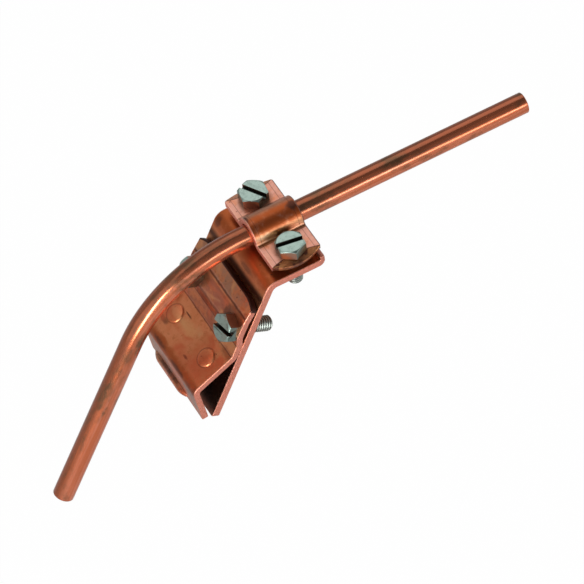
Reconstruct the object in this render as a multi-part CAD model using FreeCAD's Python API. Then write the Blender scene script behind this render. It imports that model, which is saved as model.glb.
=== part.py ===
# Gutter clamp of a lightning-protection line, with the round conductor that it holds.
#
# A copper strip is bent into the bracket: a short platform, a turned-up lip and a long leg.
# A pressed saddle is screwed to the platform and holds the conductor down in its hump.
# A bent jaw is screwed to the leg, and the gutter's rolled bead sits between the two.
# All four screws are slotted hexagon screws that run in threads cut in the bracket.
#
# Millimetres. The origin is on the conductor's axis, midway between the two saddle screws.
# X runs along the strip's width, Y along the conductor towards the lip, Z away from the platform.

import FreeCAD, Part
import math
import os

from FreeCAD import Placement, Rotation, Vector

# Conductor
conductor_diameter = 8.0
conductor_ahead = 103.9        # straight stretch past the origin, on the lip's side
conductor_turn_at = 44.9       # from the origin back to where its two straight lines would cross
conductor_turn_angle = 60.0
conductor_turn_radius = 55.0
conductor_down = 106.0         # from that crossing to the lower end

# Bracket
strip_width = 40.0
bracket_thickness = 3.0
bracket_bend_radius = 2.2      # inside of the bend
platform_back = 10.9           # from the screws to the leg's outer face, at the platform's underside
platform_front = 10.0          # from the screws to the lip's outer face
lip_height = 1.6               # over the platform's top face
lip_thickness = 1.8
lip_outer_radius = 2.6
leg_slope = 62.0               # below the platform's plane
leg_length = 62.0              # on the outer face
leg_corner_radius = 1.2

# Saddle
saddle_thickness = 2.5
saddle_width = 19.6            # along the conductor
saddle_corner_span = 36.5      # from corner to corner along X
saddle_end_bow = 2.3           # how far each rounded end passes its corners
saddle_crease_bow = 1.7        # how far each crease bows inwards from the corners
saddle_end_drop = 22.0         # degrees, how far each end is pressed down
saddle_over_lip = 1.9          # from the lip's top to the wing's underside
hump_root_fillet = 1.2
hump_mouth_fillet = 1.6

# Jaw: lengths are along the middle of its thickness, angles from the leg's plane
jaw_thickness = 2.5
jaw_top_height = 54.1          # from the leg's lower end to the jaw's upper end
jaw_lip_length = 8.9
jaw_lip_angle = 8.1
jaw_corner_run = 7.2           # along the upper end, where each corner is rounded off
jaw_corner_drop = 2.2          # and how far the corner drops to the side
jaw_seat_length = 6.8
jaw_step_length = 3.7
jaw_heel_length = 6.1
jaw_slope_length = 18.7
jaw_slope_angle = 34.6
jaw_hook_length = 16.7
jaw_hook_angle = 34.4
jaw_bend_radius = 1.5          # inside of each bend
dome_diameter = 7.4
dome_height = 0.7
dome_spacing = 24.0
dome_above_middle = 1.4        # from the middle of the slope towards the heel
ridge_length = 25.4
ridge_taper = 5.4              # how much of it runs down to the face at each end
ridge_width = 3.2
ridge_height = 1.85
ridge_from_tip = 1.8           # from the hook's tip to the ridge's middle
ridge_off_middle = -4.0        # along X

# Screws
screw_spacing = 28.0
screw_diameter = 6.0
shank_length = 17.0
head_across_flats = 10.0
head_height = 4.0
head_chamfer_ratio = 0.96      # of the width across flats, at the head's top
slot_width = 1.6
slot_depth = 2.2
screw_tip_chamfer = 0.8
jaw_screw_height = 39.3        # from the leg's lower end, near screw
far_jaw_screw_rise = 2.0       # how much higher the far screw sits

# Turns of each screw about its own axis, in degrees: hexagon, then slot
near_saddle_turn = (-5.0, 80.0)
far_saddle_turn = (-6.0, 31.0)
near_jaw_turn = (-20.0, 13.0)
far_jaw_turn = (8.0, 64.0)

# Fits
thread_clearance = 0.05        # between a screw's shank and its threaded hole, on the radius
hole_clearance = 0.35          # between a shank and a plain hole, on the radius
conductor_clearance = 0.2      # between the conductor and the saddle's hump, on the radius
seat_clearance = 0.1           # between faces that rest on each other

# Worked out from the sizes above
slope = math.radians(leg_slope)
conductor_radius = conductor_diameter / 2
lip_top = -conductor_radius - seat_clearance
platform_top = lip_top - lip_height
wing_bottom = lip_top + saddle_over_lip
wing_top = wing_bottom + saddle_thickness
screw_x = screw_spacing / 2
shank_radius = screw_diameter / 2 - thread_clearance
threaded_hole_radius = screw_diameter / 2
plain_hole_radius = shank_radius + hole_clearance

UP = Vector(0, 0, 1)
ALONG_X = Vector(1, 0, 0)
UP_LEG = Vector(0, math.cos(slope), math.sin(slope))
OFF_LEG = Vector(0, -math.sin(slope), math.cos(slope))
PLATFORM_CORNER = Vector(0, -platform_back, platform_top - bracket_thickness)
LEG_FOOT = PLATFORM_CORNER - UP_LEG * leg_length + OFF_LEG * bracket_thickness


def on_leg(height, off, x=0.0):
    """Point at a height up the leg and a distance off its inner face."""
    return LEG_FOOT + UP_LEG * height + OFF_LEG * off + ALONG_X * x


def polar_path(start, steps):
    """Points of a path given as lengths and directions in the YZ plane."""
    points = [start]
    for length, direction in steps:
        points.append(points[-1] + direction * length)
    return points


def offset_outline(points, offset, radii):
    """Edges of a path moved sideways by an offset, with an arc at each inner corner."""
    edges = []
    cursor = None
    count = len(points)
    for i in range(count):
        if i == 0:
            heading = (points[1] - points[0]).normalize()
            cursor = points[0] + side_of(heading) * offset
            continue
        before = (points[i] - points[i - 1]).normalize()
        if i == count - 1:
            end = points[i] + side_of(before) * offset
            edges.append(Part.LineSegment(cursor, end).toShape())
            break
        after = (points[i + 1] - points[i]).normalize()
        turn = before.getAngle(after)
        sense = 1 if side_of(before).dot(after) > 0 else -1
        radius = radii[i - 1]
        reach = radius * math.tan(turn / 2)
        centre = points[i] - before * reach + side_of(before) * (sense * radius)
        out = sense * offset
        first = centre - side_of(before) * (sense * (radius - out))
        last = centre - side_of(after) * (sense * (radius - out))
        bisector = (side_of(before) + side_of(after)).normalize()
        middle = centre - bisector * (sense * (radius - out))
        edges.append(Part.LineSegment(cursor, first).toShape())
        edges.append(Part.Arc(first, middle, last).toShape())
        cursor = last
    return edges


def side_of(heading):
    """Direction to the left of a heading in the YZ plane, seen from +X."""
    return Vector(0, -heading.z, heading.y)


def bent_strip(points, thickness, inside_radius, width):
    """Strip bent along a path through the middle of its thickness, centred on X = 0."""
    radii = [inside_radius + thickness / 2] * (len(points) - 2)
    left = offset_outline(points, thickness / 2, radii)
    right = offset_outline(points, -thickness / 2, radii)
    left_end = left[-1].Vertexes[-1].Point
    right_end = right[-1].Vertexes[-1].Point
    left_start = left[0].Vertexes[0].Point
    right_start = right[0].Vertexes[0].Point
    caps = [
        Part.LineSegment(left_end, right_end).toShape(),
        Part.LineSegment(right_start, left_start).toShape(),
    ]
    wire = Part.Wire(Part.__sortEdges__(left + right + caps))
    face = Part.Face(wire)
    face.translate(Vector(-width / 2, 0, 0))
    return face.extrude(Vector(width, 0, 0))


def bar(start, direction, length, radius):
    """Round bar from a point along a direction."""
    return Part.makeCylinder(radius, length, start, direction)


def edges_where(shape, test):
    """Edges of a shape whose middle point passes a test."""
    chosen = []
    for edge in shape.Edges:
        middle = edge.valueAt((edge.FirstParameter + edge.LastParameter) / 2)
        if test(edge, middle):
            chosen.append(edge)
    return chosen


def screw_stations():
    """Where each screw's head seats, with the direction from its tip to its head."""
    jaw_seat = seat_clearance + jaw_lip_rise() + jaw_thickness
    far_height = jaw_screw_height + far_jaw_screw_rise
    return {
        "saddle_screw_near": (Vector(screw_x, 0, wing_top), UP, near_saddle_turn),
        "saddle_screw_far": (Vector(-screw_x, 0, wing_top), UP, far_saddle_turn),
        "jaw_screw_near": (on_leg(jaw_screw_height, jaw_seat, screw_x), OFF_LEG, near_jaw_turn),
        "jaw_screw_far": (on_leg(far_height, jaw_seat, -screw_x), OFF_LEG, far_jaw_turn),
    }


def jaw_lip_rise():
    """How far the jaw's seat stands off the leg, over its lip."""
    return jaw_lip_length * math.sin(math.radians(jaw_lip_angle))


def make_bracket():
    """Leg, bend, platform and lip from one strip, with four threaded holes."""
    half = bracket_thickness / 2
    # The strip's middle plane turns where the middles of the leg and the platform cross
    corner = PLATFORM_CORNER + Vector(0, -half * math.tan(slope / 2), half)
    foot = corner - UP_LEG * (leg_length + half * math.tan(slope / 2))
    front = Vector(0, platform_front, platform_top - half)
    bracket = bent_strip([foot, corner, front], bracket_thickness, bracket_bend_radius, strip_width)
    lip = Part.makeBox(
        strip_width, lip_thickness, lip_height + half,
        Vector(-strip_width / 2, platform_front - lip_thickness, platform_top - half),
    )
    bracket = bracket.fuse(lip).removeSplitter()
    bracket = bracket.makeFillet(lip_outer_radius, edges_where(
        bracket, lambda edge, p: abs(p.y - platform_front) < 0.01
        and abs(p.z - PLATFORM_CORNER.z) < 0.01 and abs(p.x) < 0.01))
    bracket = bracket.makeFillet(leg_corner_radius, edges_where(
        bracket, lambda edge, p: abs((p - LEG_FOOT).dot(UP_LEG)) < 0.01
        and abs(abs(p.x) - strip_width / 2) < 0.01))
    for seat, axis, turns in screw_stations().values():
        bracket = bracket.cut(bar(seat + axis, axis * -1, shank_length + 2, threaded_hole_radius))
    return bracket


def make_conductor():
    """Round conductor: level over the platform, then bent down beside the leg."""
    turn = math.radians(conductor_turn_angle)
    down = Vector(0, -math.cos(turn), -math.sin(turn))
    crossing = Vector(0, -conductor_turn_at, 0)
    reach = conductor_turn_radius * math.tan(turn / 2)
    ahead = Vector(0, conductor_ahead, 0)
    bend_start = crossing + Vector(0, reach, 0)
    bend_end = crossing + down * reach
    centre = bend_start - UP * conductor_turn_radius
    half_turn = Vector(0, -math.sin(turn / 2), math.cos(turn / 2))
    bend_middle = centre + half_turn * conductor_turn_radius
    path = Part.Wire([
        Part.LineSegment(ahead, bend_start).toShape(),
        Part.Arc(bend_start, bend_middle, bend_end).toShape(),
        Part.LineSegment(bend_end, crossing + down * conductor_down).toShape(),
    ])
    section = Part.Wire([Part.makeCircle(conductor_radius, ahead, Vector(0, -1, 0))])
    return path.makePipeShell([section], True, True)


def saddle_outline_block(low, high):
    """Upright block with the saddle's outline seen from above: square sides, rounded ends."""
    half_span = saddle_corner_span / 2
    half_width = saddle_width / 2
    corners = [Vector(sx * half_span, sy * half_width, low)
               for sx, sy in ((1, -1), (1, 1), (-1, 1), (-1, -1))]
    near_mid = Vector(half_span + saddle_end_bow, 0, low)
    far_mid = Vector(-half_span - saddle_end_bow, 0, low)
    wire = Part.Wire([
        Part.Arc(corners[0], near_mid, corners[1]).toShape(),
        Part.LineSegment(corners[1], corners[2]).toShape(),
        Part.Arc(corners[2], far_mid, corners[3]).toShape(),
        Part.LineSegment(corners[3], corners[0]).toShape(),
    ])
    return Part.Face(wire).extrude(Vector(0, 0, high - low))


def end_press(radius_change):
    """Tilted drum whose underside is the top of the near end, pressed down from the crease."""
    drop = math.radians(saddle_end_drop)
    half_width = saddle_width / 2
    crease = Vector(saddle_corner_span / 2 - saddle_crease_bow, 0, wing_top)
    # At the corners the drum meets the top face again, a crease bow further out
    rise = saddle_crease_bow * math.sin(drop)
    drum_radius = (half_width ** 2 + rise ** 2) / (2 * rise)
    axis = Vector(math.cos(drop), 0, -math.sin(drop))
    lift = Vector(math.sin(drop), 0, math.cos(drop))
    length = 4 * saddle_width
    start = crease + lift * drum_radius - axis * (length / 2)
    return Part.makeCylinder(drum_radius + radius_change, length, start, axis)


def make_saddle():
    """Pressed saddle: hump over the conductor, flat wings, ends pressed down, two holes."""
    half_width = saddle_width / 2
    hump_inside = conductor_radius + conductor_clearance
    hump_outside = hump_inside + saddle_thickness
    plate = saddle_outline_block(wing_bottom, wing_top)
    hump = bar(Vector(0, -half_width, 0), Vector(0, 1, 0), saddle_width, hump_outside)
    above = Part.makeBox(2 * hump_outside, saddle_width, 2 * hump_outside,
                         Vector(-hump_outside, -half_width, wing_bottom))
    body = plate.fuse(hump.common(above)).removeSplitter()
    body = body.makeFillet(hump_root_fillet, edges_where(
        body, lambda edge, p: abs(p.z - wing_top) < 0.01 and abs(p.y) < 0.01
        and abs(p.x) < hump_outside + 0.1))
    tunnel = bar(Vector(0, -half_width - 1, 0), Vector(0, 1, 0), saddle_width + 2, hump_inside)
    mouth = Part.makeBox(2 * hump_inside, saddle_width + 2, 1 - wing_bottom,
                         Vector(-hump_inside, -half_width - 1, wing_bottom - 1))
    body = body.cut(tunnel).cut(mouth)
    body = body.makeFillet(hump_mouth_fillet, edges_where(
        body, lambda edge, p: abs(p.z - wing_bottom) < 0.01 and abs(p.y) < 0.01
        and abs(p.x) < hump_inside + 0.1))
    body = press_end(body)
    body = body.mirror(Vector(0, 0, 0), ALONG_X)
    body = press_end(body)
    for x in (-screw_x, screw_x):
        body = body.cut(bar(Vector(x, 0, wing_bottom - 1), UP, saddle_thickness + 2, plain_hole_radius))
    return body.removeSplitter()


def press_end(body):
    """Bend the body's near end down along its bowed crease, at its full thickness."""
    depth = 2 * saddle_thickness
    column = saddle_outline_block(wing_bottom - depth, wing_top)
    outside = Part.makeBox(saddle_corner_span, 2 * saddle_width, 4 * depth,
                           Vector(saddle_corner_span / 2 - 2 * saddle_crease_bow,
                                  -saddle_width, wing_bottom - 2 * depth))
    shell = end_press(saddle_thickness).cut(end_press(0))
    pressed = shell.common(column).common(outside)
    return body.cut(end_press(0).common(outside)).fuse(pressed).removeSplitter()


def jaw_path():
    """Middle line of the jaw, from its upper end down to the tip of its hook."""
    def heading(angle):
        a = math.radians(angle)
        return OFF_LEG * math.sin(a) - UP_LEG * math.cos(a)

    step_angle = math.degrees(math.asin(jaw_lip_rise() / jaw_step_length))
    start = on_leg(jaw_top_height, seat_clearance + jaw_thickness / 2)
    return polar_path(start, [
        (jaw_lip_length, heading(jaw_lip_angle)),
        (jaw_seat_length, heading(0)),
        (jaw_step_length, heading(-step_angle)),
        (jaw_heel_length, heading(0)),
        (jaw_slope_length, heading(jaw_slope_angle)),
        (jaw_hook_length, heading(-jaw_hook_angle)),
    ])


def pressed_dome(centre, outward, diameter, height, thickness):
    """Ball that raises a dome and ball that hollows it, from one face of a sheet."""
    radius = ((diameter / 2) ** 2 + height ** 2) / (2 * height)
    ball = Part.makeSphere(radius, centre + outward * (height - radius))
    hollow = Part.makeSphere(radius, centre + outward * (height - radius - thickness))
    return ball, hollow


def pressed_ridge(middle, outward, along):
    """Half-round ridge along X on a face, running down to it at both ends."""
    half_width = ridge_width / 2
    radius = (half_width ** 2 + ridge_height ** 2) / (2 * ridge_height)
    half = ridge_length / 2
    start = middle + outward * (ridge_height - radius) - ALONG_X * half
    round_bar = bar(start, ALONG_X, ridge_length, radius)

    def crown(x, height):
        return middle + ALONG_X * x + outward * height - along * ridge_width

    flat = half - ridge_taper
    taper_radius = (ridge_taper ** 2 + ridge_height ** 2) / (2 * ridge_height)
    halfway = math.asin(ridge_taper / taper_radius) / 2
    arc_x = flat + taper_radius * math.sin(halfway)
    arc_height = ridge_height - taper_radius * (1 - math.cos(halfway))
    wire = Part.Wire([
        Part.LineSegment(crown(-half, -seat_clearance), crown(-half, 0)).toShape(),
        Part.Arc(crown(-half, 0), crown(-arc_x, arc_height), crown(-flat, ridge_height)).toShape(),
        Part.LineSegment(crown(-flat, ridge_height), crown(flat, ridge_height)).toShape(),
        Part.Arc(crown(flat, ridge_height), crown(arc_x, arc_height), crown(half, 0)).toShape(),
        Part.LineSegment(crown(half, 0), crown(half, -seat_clearance)).toShape(),
        Part.LineSegment(crown(half, -seat_clearance), crown(-half, -seat_clearance)).toShape(),
    ])
    return round_bar.common(Part.Face(wire).extrude(along * (2 * ridge_width)))


def round_upper_corners(jaw):
    """Round off both corners of the jaw's upper end."""
    half = strip_width / 2
    radius = (jaw_corner_run ** 2 + jaw_corner_drop ** 2) / (2 * jaw_corner_drop)
    end = jaw_top_height + jaw_thickness * math.sin(math.radians(jaw_lip_angle)) / 2
    halfway = math.asin(jaw_corner_run / radius) / 2
    for side in (-1, 1):
        def at(run, drop):
            return on_leg(end - drop, -jaw_thickness, side * (half - jaw_corner_run + run))

        middle = at(radius * math.sin(halfway), radius * (1 - math.cos(halfway)))
        side_point = at(jaw_corner_run, jaw_corner_drop)
        beyond = at(2 * jaw_corner_run, jaw_corner_drop)
        above = at(2 * jaw_corner_run, -jaw_corner_run)
        wire = Part.Wire([
            Part.Arc(at(0, 0), middle, side_point).toShape(),
            Part.LineSegment(side_point, beyond).toShape(),
            Part.LineSegment(beyond, above).toShape(),
            Part.LineSegment(above, at(0, -jaw_corner_run)).toShape(),
            Part.LineSegment(at(0, -jaw_corner_run), at(0, 0)).toShape(),
        ])
        jaw = jaw.cut(Part.Face(wire).extrude(OFF_LEG * (4 * jaw_thickness)))
    return jaw


def emboss(jaw, raised, hollow, face_point, outward):
    """Add what a pressing tool raises over one face, and take away what it hollows behind it."""
    size = strip_width
    turn = Rotation(UP, outward)
    slab = Part.makeBox(size, size, size, Vector(-size / 2, -size / 2, -0.3))
    slab.Placement = Placement(face_point, turn)
    back = Part.makeBox(size, size, jaw_thickness + 0.1,
                        Vector(-size / 2, -size / 2, -jaw_thickness - 0.1))
    back.Placement = Placement(face_point, turn)
    jaw = jaw.fuse(raised.common(slab))
    return jaw.cut(hollow.common(back))


def make_jaw():
    """Bent jaw with its lip, seat, heel, slope and hook, two domes, a ridge and two holes."""
    path = jaw_path()
    jaw = bent_strip(path, jaw_thickness, jaw_bend_radius, strip_width)
    slope_start, slope_end, tip = path[4], path[5], path[6]
    along_slope = (slope_end - slope_start).normalize()
    along_hook = (tip - slope_end).normalize()
    slope_out = side_of(along_slope) * -1
    hook_out = side_of(along_hook) * -1
    dome_line = (slope_start + slope_end) * 0.5 - along_slope * dome_above_middle
    dome_line = dome_line + slope_out * (jaw_thickness / 2)
    ridge_middle = tip - along_hook * ridge_from_tip + hook_out * (jaw_thickness / 2)
    ridge_middle = ridge_middle + ALONG_X * ridge_off_middle
    for side in (-1, 1):
        centre = dome_line + ALONG_X * (side * dome_spacing / 2)
        ball, hollow = pressed_dome(centre, slope_out, dome_diameter, dome_height, jaw_thickness)
        jaw = emboss(jaw, ball, hollow, centre, slope_out)
    jaw = jaw.fuse(pressed_ridge(ridge_middle, hook_out, along_hook))
    jaw = round_upper_corners(jaw)
    for name in ("jaw_screw_near", "jaw_screw_far"):
        seat, axis, turns = screw_stations()[name]
        start = seat - axis * (3 * jaw_thickness)
        jaw = jaw.cut(bar(start, axis, 4 * jaw_thickness, plain_hole_radius))
    return jaw.removeSplitter()


def screw_head(hexagon_turn, slot_turn):
    """Hexagon head on the XY plane, chamfered at the top and slotted across."""
    corner = head_across_flats / 2 / math.cos(math.radians(30))
    points = []
    for i in range(7):
        a = math.radians(hexagon_turn + 60 * i)
        points.append(Vector(corner * math.cos(a), corner * math.sin(a), 0))
    prism = Part.Face(Part.makePolygon(points)).extrude(UP * head_height)
    top_radius = head_across_flats / 2 * head_chamfer_ratio
    # The chamfer falls at 30 degrees from the top's rim to the corners
    fall = math.tan(math.radians(30))
    reach = corner + 1
    cone_depth = (reach - top_radius) * fall
    skirt = Part.makeCylinder(reach, head_height - cone_depth)
    cone = Part.makeCone(reach, top_radius, cone_depth, Vector(0, 0, head_height - cone_depth))
    head = prism.common(skirt.fuse(cone))
    half = slot_width / 2
    length = 3 * corner
    floor = head_height - slot_depth + half
    slot = Part.makeBox(length, slot_width, slot_depth, Vector(-length / 2, -half, floor))
    root = Part.makeCylinder(half, length, Vector(-length / 2, 0, floor), ALONG_X)
    slot = slot.fuse(root)
    slot.rotate(Vector(0, 0, 0), UP, slot_turn)
    return head.cut(slot)


def make_screw(seat, axis, turns):
    """Slotted hexagon screw, with its head's underside at the seat."""
    shank = Part.makeCylinder(shank_radius, shank_length - screw_tip_chamfer, Vector(0, 0, 0), UP * -1)
    tip = Part.makeCone(shank_radius, shank_radius - screw_tip_chamfer, screw_tip_chamfer,
                        Vector(0, 0, -shank_length + screw_tip_chamfer), UP * -1)
    screw = screw_head(*turns).fuse([shank, tip]).removeSplitter()
    # Local X stays the strip's X, so the turns are read from it
    frame = Rotation(ALONG_X, axis.cross(ALONG_X), axis, "XZY")
    screw.Placement = Placement(seat, frame)
    return screw


def export(name, shape):
    """Write one piece, after checking that it is one sound solid."""
    solids = shape.Solids
    if len(solids) != 1 or not shape.isValid():
        raise RuntimeError(f"{name}: {len(solids)} solids, valid {shape.isValid()}")
    solid = solids[0]
    solid.exportStep(f"parts/{name}.step")
    box = solid.BoundBox
    print(f"{name}: {solid.Volume:.0f} mm3, {box.XLength:.1f} x {box.YLength:.1f} x {box.ZLength:.1f} mm")


def main():
    os.makedirs("parts", exist_ok=True)
    export("bracket", make_bracket())
    export("clamp_jaw", make_jaw())
    export("saddle", make_saddle())
    for name, (seat, axis, turns) in screw_stations().items():
        export(name, make_screw(seat, axis, turns))
    export("round_conductor", make_conductor())


main()
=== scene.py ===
# %% [markdown]
# # A copper gutter clamp with its round conductor
# The clamp grips the rolled bead on a gutter's edge and holds a lightning conductor.
# Its pieces are a bent bracket, a bent jaw, a pressed saddle, four slotted hexagon screws
# and the round conductor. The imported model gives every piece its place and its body, and
# this file gives each one the surface, the rounded edges and the finish of the real thing.

import math
from contextlib import contextmanager

import bmesh
import bpy
from mathutils import Matrix, Vector
from mathutils.geometry import delaunay_2d_cdt
from mathutils.kdtree import KDTree


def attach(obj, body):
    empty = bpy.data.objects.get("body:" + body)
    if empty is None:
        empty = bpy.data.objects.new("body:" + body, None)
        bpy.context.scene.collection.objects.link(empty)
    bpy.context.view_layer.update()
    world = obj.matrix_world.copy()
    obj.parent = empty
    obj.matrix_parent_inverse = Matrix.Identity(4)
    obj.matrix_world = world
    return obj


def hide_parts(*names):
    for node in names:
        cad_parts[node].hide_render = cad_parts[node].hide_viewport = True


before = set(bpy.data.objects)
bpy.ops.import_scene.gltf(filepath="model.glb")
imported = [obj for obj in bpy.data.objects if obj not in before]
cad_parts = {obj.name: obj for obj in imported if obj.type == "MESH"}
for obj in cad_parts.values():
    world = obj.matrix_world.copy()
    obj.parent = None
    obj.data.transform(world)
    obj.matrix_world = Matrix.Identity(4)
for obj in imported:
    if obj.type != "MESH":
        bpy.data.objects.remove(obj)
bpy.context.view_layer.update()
MM = 0.001

# %% [markdown]
# ## Camera
# A long lens from about a metre and a half gives the flat, nearly parallel view of a
# catalogue picture. The three directions below are the camera's right, down and forward,
# measured from the straight edges of the strip. The shift only moves the frame, so that
# the clamp sits a little above and left of the middle as the conductor's ends leave it.

# %% Camera
CAMERA_RIGHT = Vector((0.473015, 0.875534, -0.098473))
CAMERA_DOWN = Vector((0.650253, -0.422333, -0.631511))
CAMERA_FORWARD = Vector((-0.594498, 0.234682, -0.769088))
CAMERA_DISTANCE = 1.5
AIM = Vector((0, 0, -0.0057))
SENSOR_MM = 36.0
FOCAL_PIXELS = 4205.5
FRAME_PIXELS = 584
AIM_PIXEL = (273.8, 233.64)


def link(thing):
    bpy.context.scene.collection.objects.link(thing)
    return thing


def make_camera():
    data = bpy.data.cameras.new("catalogue_camera")
    camera = link(bpy.data.objects.new("catalogue_camera", data))
    axes = Matrix((CAMERA_RIGHT, -CAMERA_DOWN, -CAMERA_FORWARD)).transposed()
    camera.matrix_world = Matrix.Translation(AIM - CAMERA_FORWARD * CAMERA_DISTANCE) @ axes.to_4x4()
    data.sensor_width = SENSOR_MM
    data.lens = FOCAL_PIXELS / FRAME_PIXELS * SENSOR_MM
    data.shift_x = 0.5 - AIM_PIXEL[0] / FRAME_PIXELS
    data.shift_y = AIM_PIXEL[1] / FRAME_PIXELS - 0.5
    data.clip_start = 0.05
    data.clip_end = 20
    bpy.context.scene.camera = camera
    return camera


camera = make_camera()
print("lens, mm:", round(camera.data.lens, 1))

# %% [markdown]
# ## Small helpers
# Every finished piece is a plain mesh whose object sits at the origin. The first helpers
# make one from points and faces, shade it smooth with crisp corners, and hand it over.

# %% Helpers for meshes
@contextmanager
def edited(mesh):
    """Open a mesh as a BMesh, and write it back afterwards."""
    bm = bmesh.new()
    bm.from_mesh(mesh)
    yield bm
    bm.to_mesh(mesh)
    bm.free()


def smooth_by_angle(mesh, degrees):
    """Shade a mesh smooth, with a crisp corner wherever two faces meet at more than an angle."""
    mesh.polygons.foreach_set("use_smooth", [True] * len(mesh.polygons))
    with edited(mesh) as bm:
        for edge in bm.edges:
            edge.smooth = len(edge.link_faces) == 2 and edge.calc_face_angle() < math.radians(degrees)


def mesh_object(name, points, faces):
    mesh = bpy.data.meshes.new(name)
    mesh.from_pydata([tuple(p) for p in points], [], faces)
    mesh.update()
    return link(bpy.data.objects.new(name, mesh))


def ringed_solid(name, rings):
    """Closed mesh through rings that all have the same number of points, with flat ends."""
    count, last = len(rings[0]), (len(rings) - 1) * len(rings[0])
    faces = [(start + k, start + (k + 1) % count, start + count + (k + 1) % count, start + count + k)
             for start in range(0, last, count) for k in range(count)]
    faces += [tuple(range(count - 1, -1, -1)), tuple(range(last, last + count))]
    return mesh_object(name, [p for ring in rings for p in ring], faces)


def outward(mesh):
    """Make every face of a closed mesh point outwards."""
    with edited(mesh) as bm:
        bmesh.ops.recalc_face_normals(bm, faces=bm.faces)


def store_values(mesh, name, values, kind="FLOAT", domain="POINT"):
    """Keep a value on every point or face of a mesh, for the materials to read."""
    field = "vector" if kind == "FLOAT_VECTOR" else "value"
    mesh.attributes.new(name, kind, domain).data.foreach_set(field, values)


def bake_modifiers(piece):
    """Turn an object with its modifiers into one plain mesh object of the same name."""
    bpy.context.view_layer.update()
    graph = bpy.context.evaluated_depsgraph_get()
    mesh = bpy.data.meshes.new_from_object(piece.evaluated_get(graph), depsgraph=graph)
    name = piece.name
    bpy.data.objects.remove(piece)
    mesh.name = name
    return link(bpy.data.objects.new(name, mesh))


def dress(piece, material, body, node):
    """Give a finished piece its material and the body that it moves with, and hide the node it stands
    for.
    """
    piece.data.materials.clear()
    piece.data.materials.append(material)
    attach(piece, body)
    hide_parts(node)
    print(piece.name, "faces:", len(piece.data.polygons))


def steps_between(low, high, pitch):
    """Evenly spaced values from one to another, both ends included."""
    count = max(1, round((high - low) / pitch))
    return [low + (high - low) * k / count for k in range(count + 1)]


# %% [markdown]
# Node trees come next. A sum of nodes is easier to read when it looks like a sum, so each
# output is wrapped as a wire: adding two wires adds a Math node and gives back its output.
# The same works for vectors, where a wire times a triple stretches each axis by its own
# amount and a wire times a number scales all three.

# %% Nodes and wires
class Wire:
    """A node's output that can stand in a sum, as a number or as a vector."""

    def __init__(self, tree, socket):
        self.tree = tree
        self.socket = socket

    def joined(self, operation, first, second):
        kind, inputs = "ShaderNodeMath", {0: first, 1: second}
        if self.socket.type == "VECTOR":
            kind = "ShaderNodeVectorMath"
            if operation == "MULTIPLY" and not isinstance(second, tuple):
                operation, inputs = "SCALE", {0: first, "Scale": second}
        return Node(self.tree, kind, inputs, operation=operation)[0]

    def __add__(self, other):
        return self.joined("ADD", self, other)

    def __sub__(self, other):
        return self.joined("SUBTRACT", self, other)

    def __rsub__(self, other):
        return self.joined("SUBTRACT", other, self)

    def __mul__(self, other):
        return self.joined("MULTIPLY", self, other)

    def __truediv__(self, other):
        return self.joined("DIVIDE", self, other)


def plug(tree, socket, value):
    """Link a wire to a socket, or set the socket's own value."""
    if isinstance(value, Wire):
        tree.links.new(value.socket, socket)
    elif socket.type == "RGBA":
        socket.default_value = (*value, 1)
    else:
        socket.default_value = value


class Node:
    """A new node, with its settings made and its inputs filled by name or number."""

    def __init__(self, tree, kind, inputs=None, **settings):
        self.tree = tree
        self.node = tree.nodes.new(kind)
        for key, value in settings.items():
            setattr(self.node, key, value)
        for key, value in (inputs or {}).items():
            plug(tree, self.node.inputs[key], value)

    def __getitem__(self, key):
        return Wire(self.tree, self.node.outputs[key])


def maths(operation, first, *others):
    """A step of maths that has no sign of its own, such as ABSOLUTE or CROSS_PRODUCT."""
    kind = "ShaderNodeVectorMath" if first.socket.type == "VECTOR" else "ShaderNodeMath"
    node = Node(first.tree, kind, dict(enumerate((first, *others))), operation=operation)
    return node["Value" if operation == "LENGTH" else 0]


def clamped(wire):
    """Keep the result of a Math node between 0 and 1."""
    wire.socket.node.use_clamp = True
    return wire


def split(vector):
    node = Node(vector.tree, "ShaderNodeSeparateXYZ", {0: vector})
    return node[0], node[1], node[2]


def combined(x, y, z):
    return Node(x.tree, "ShaderNodeCombineXYZ", {0: x, 1: y, 2: z})[0]


# %% Trees with named sockets
def new_tree(name, kind, inputs, outputs):
    """Node tree with (title, kind, default) inputs and (title, kind) outputs, and its input node."""
    tree = bpy.data.node_groups.new(name, kind)
    for side, sockets in (("INPUT", inputs), ("OUTPUT", outputs)):
        for title, socket_kind, *default in sockets:
            socket_type = "NodeSocket" + socket_kind
            socket = tree.interface.new_socket(title, in_out=side, socket_type=socket_type)
            if default:
                socket.default_value = default[0]
    return tree, Node(tree, "NodeGroupInput")


def geometry_tree(name, *inputs):
    """Geometry tree that takes a geometry, some values and a material called Finish."""
    inputs = [("Geometry", "Geometry"), *inputs, ("Finish", "Material")]
    return new_tree(name, "GeometryNodeTree", inputs, [("Geometry", "Geometry")])


def finish_geometry(source, geometry):
    """End a geometry tree: real geometry, its material, and the group's output."""
    tree = source.tree
    real = Node(tree, "GeometryNodeRealizeInstances", {0: geometry})[0]
    done = Node(tree, "GeometryNodeSetMaterial", {"Geometry": real, "Material": source["Finish"]})[0]
    Node(tree, "NodeGroupOutput", {0: done})


def stored(geometry, name, value):
    """Store a number on the points of a geometry inside a tree."""
    inputs = {"Geometry": geometry, "Name": name, "Value": value}
    return Node(geometry.tree, "GeometryNodeStoreNamedAttribute", inputs,
                data_type="FLOAT", domain="POINT")[0]


def run_tree(piece, tree, **values):
    """Run a geometry tree on a piece with named input values, and keep the result as a mesh."""
    modifier = piece.modifiers.new(tree.name, "NODES")
    modifier.node_group = tree
    for item in tree.interface.items_tree:
        if item.item_type == "SOCKET" and item.in_out == "INPUT" and item.name in values:
            modifier[item.identifier] = values[item.name]
    return bake_modifiers(piece)


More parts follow.
